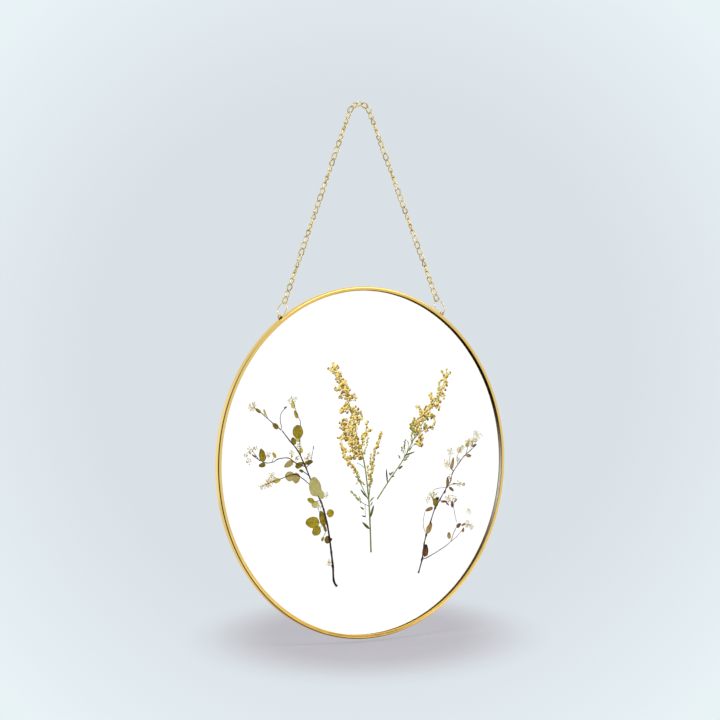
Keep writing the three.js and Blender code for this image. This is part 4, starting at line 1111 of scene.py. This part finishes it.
diffuse = node(tree, "BsdfDiffuse", Color=(*SHADOW_COLOUR, 1))
clear = node(tree, "BsdfTransparent")
mixed = node(tree, "MixShader", at=[solid, clear.outputs[0], diffuse.outputs[0]])
tree.links.new(mixed.outputs[0], out.inputs["Surface"])
floor_mesh.materials.append(material)
floor.visible_transmission = False

# ---- backdrop and studio light ------------------------------------------------------------------

PALE = (0.700, 0.752, 0.793)
PALE_CORNERS = (0.81, 0.895, 0.925)
MIDDLE_OF_PICTURE, CORNER_OF_PICTURE = 0.9972, 0.9908  # cosines of the angle off the camera's axis
STUDIO = (1.0, 0.985, 0.955)
ON_PLANTS = 0.62
BEHIND_GLASS = 1.24

world = bpy.data.worlds.new("studio")
bpy.context.scene.world = world
world.use_nodes = True
tree = world.node_tree
tree.nodes.clear()
paths = node(tree, "LightPath").outputs
direction = node(tree, "TexCoord").outputs["Generated"]


def towards(axis):
    """The cosine of the angle between an axis and where the ray goes."""
    dot = node(tree, "VectorMath", {"operation": "DOT_PRODUCT"}, at=[direction, axis])
    return dot.outputs["Value"]


def light(colour, strength):
    return node(tree, "Background", Color=colour, Strength=strength).outputs[0]


# Metal mirrors a room that is dark behind the camera. The panes mirror a dark card, which stands
# where the photograph's view meets it, so that they look clear.
facing = towards(back)
dark_side = spread(tree, facing, 0.58, 0.94, 1.0, 0.1, "SMOOTHSTEP")
bright_side = spread(tree, facing, -1.0, 0.8, 1.05, 1.0)
mirrored = math_node(tree, "MULTIPLY", dark_side, bright_side)
in_the_glass = Vector((-back.x, back.y, -back.z))
card = spread(tree, towards(in_the_glass), 0.75, 0.95, 0.95, 0.08, "SMOOTHSTEP")
reflected = spread(tree, paths["Is Singular Ray"], 0.0, 1.0, mirrored, card)
lighting = spread(tree, paths["Diffuse Depth"], 0.0, 1.0, reflected, ON_PLANTS)

# The camera sees the backdrop, and pure white straight through the glass.
from_middle = spread(tree, towards(ahead), MIDDLE_OF_PICTURE, CORNER_OF_PICTURE, 0.0, 1.0)
backdrop = ramp(tree, from_middle, [(0.0, PALE), (1.0, PALE_CORNERS)])
seen = node(tree, "MixShader", at=[paths["Is Camera Ray"], light((*STUDIO, 1), lighting),
                                   light(backdrop, 1.0)]).outputs[0]
bounces = math_node(tree, "ADD", paths["Diffuse Depth"], paths["Glossy Depth"])
straight = math_node(tree, "SUBTRACT", paths["Is Transmission Ray"], bounces, clamp=True)
through = node(tree, "MixShader", at=[straight, seen, light((1, 1, 1, 1), BEHIND_GLASS)]).outputs[0]
tree.links.new(through, tree.nodes.new("ShaderNodeOutputWorld").inputs["Surface"])
world.cycles.sampling_method = "NONE"

# Each lamp: its place, width, height, power, and whether it shows in shiny things.
LAMPS = {
    "key": ((-1.1, -1.7, 1.5), 1.0, 1.0, 62, False),
    "front_right_high": ((1.4, -1.8, 1.0), 1.6, 0.9, 18, True),
    "front_right_low": ((1.5, -2.0, -1.2), 1.6, 0.8, 9, True),
    "back_left": ((-1.8, 2.0, 0.2), 1.6, 2.4, 3, True),
    "back_right": ((1.6, 1.9, 1.2), 1.2, 1.2, 24, False),
    "top": ((0.2, 0.4, 2.4), 1.6, 1.6, 14, False),
}
AIM = Vector((0, 0, -0.2))
for name, (place, width, height, power, shows) in LAMPS.items():
    data = bpy.data.lights.new(name, "AREA")
    data.shape = "RECTANGLE"
    data.size, data.size_y = width, height
    data.energy = power
    lamp = bpy.data.objects.new(name, data)
    lamp.location = place
    lamp.rotation_mode = "QUATERNION"
    lamp.rotation_quaternion = (AIM - Vector(place)).to_track_quat("-Z", "Y")
    bpy.context.scene.collection.objects.link(lamp)
    lamp.visible_camera = False
    lamp.visible_transmission = False
    lamp.visible_glossy = shows
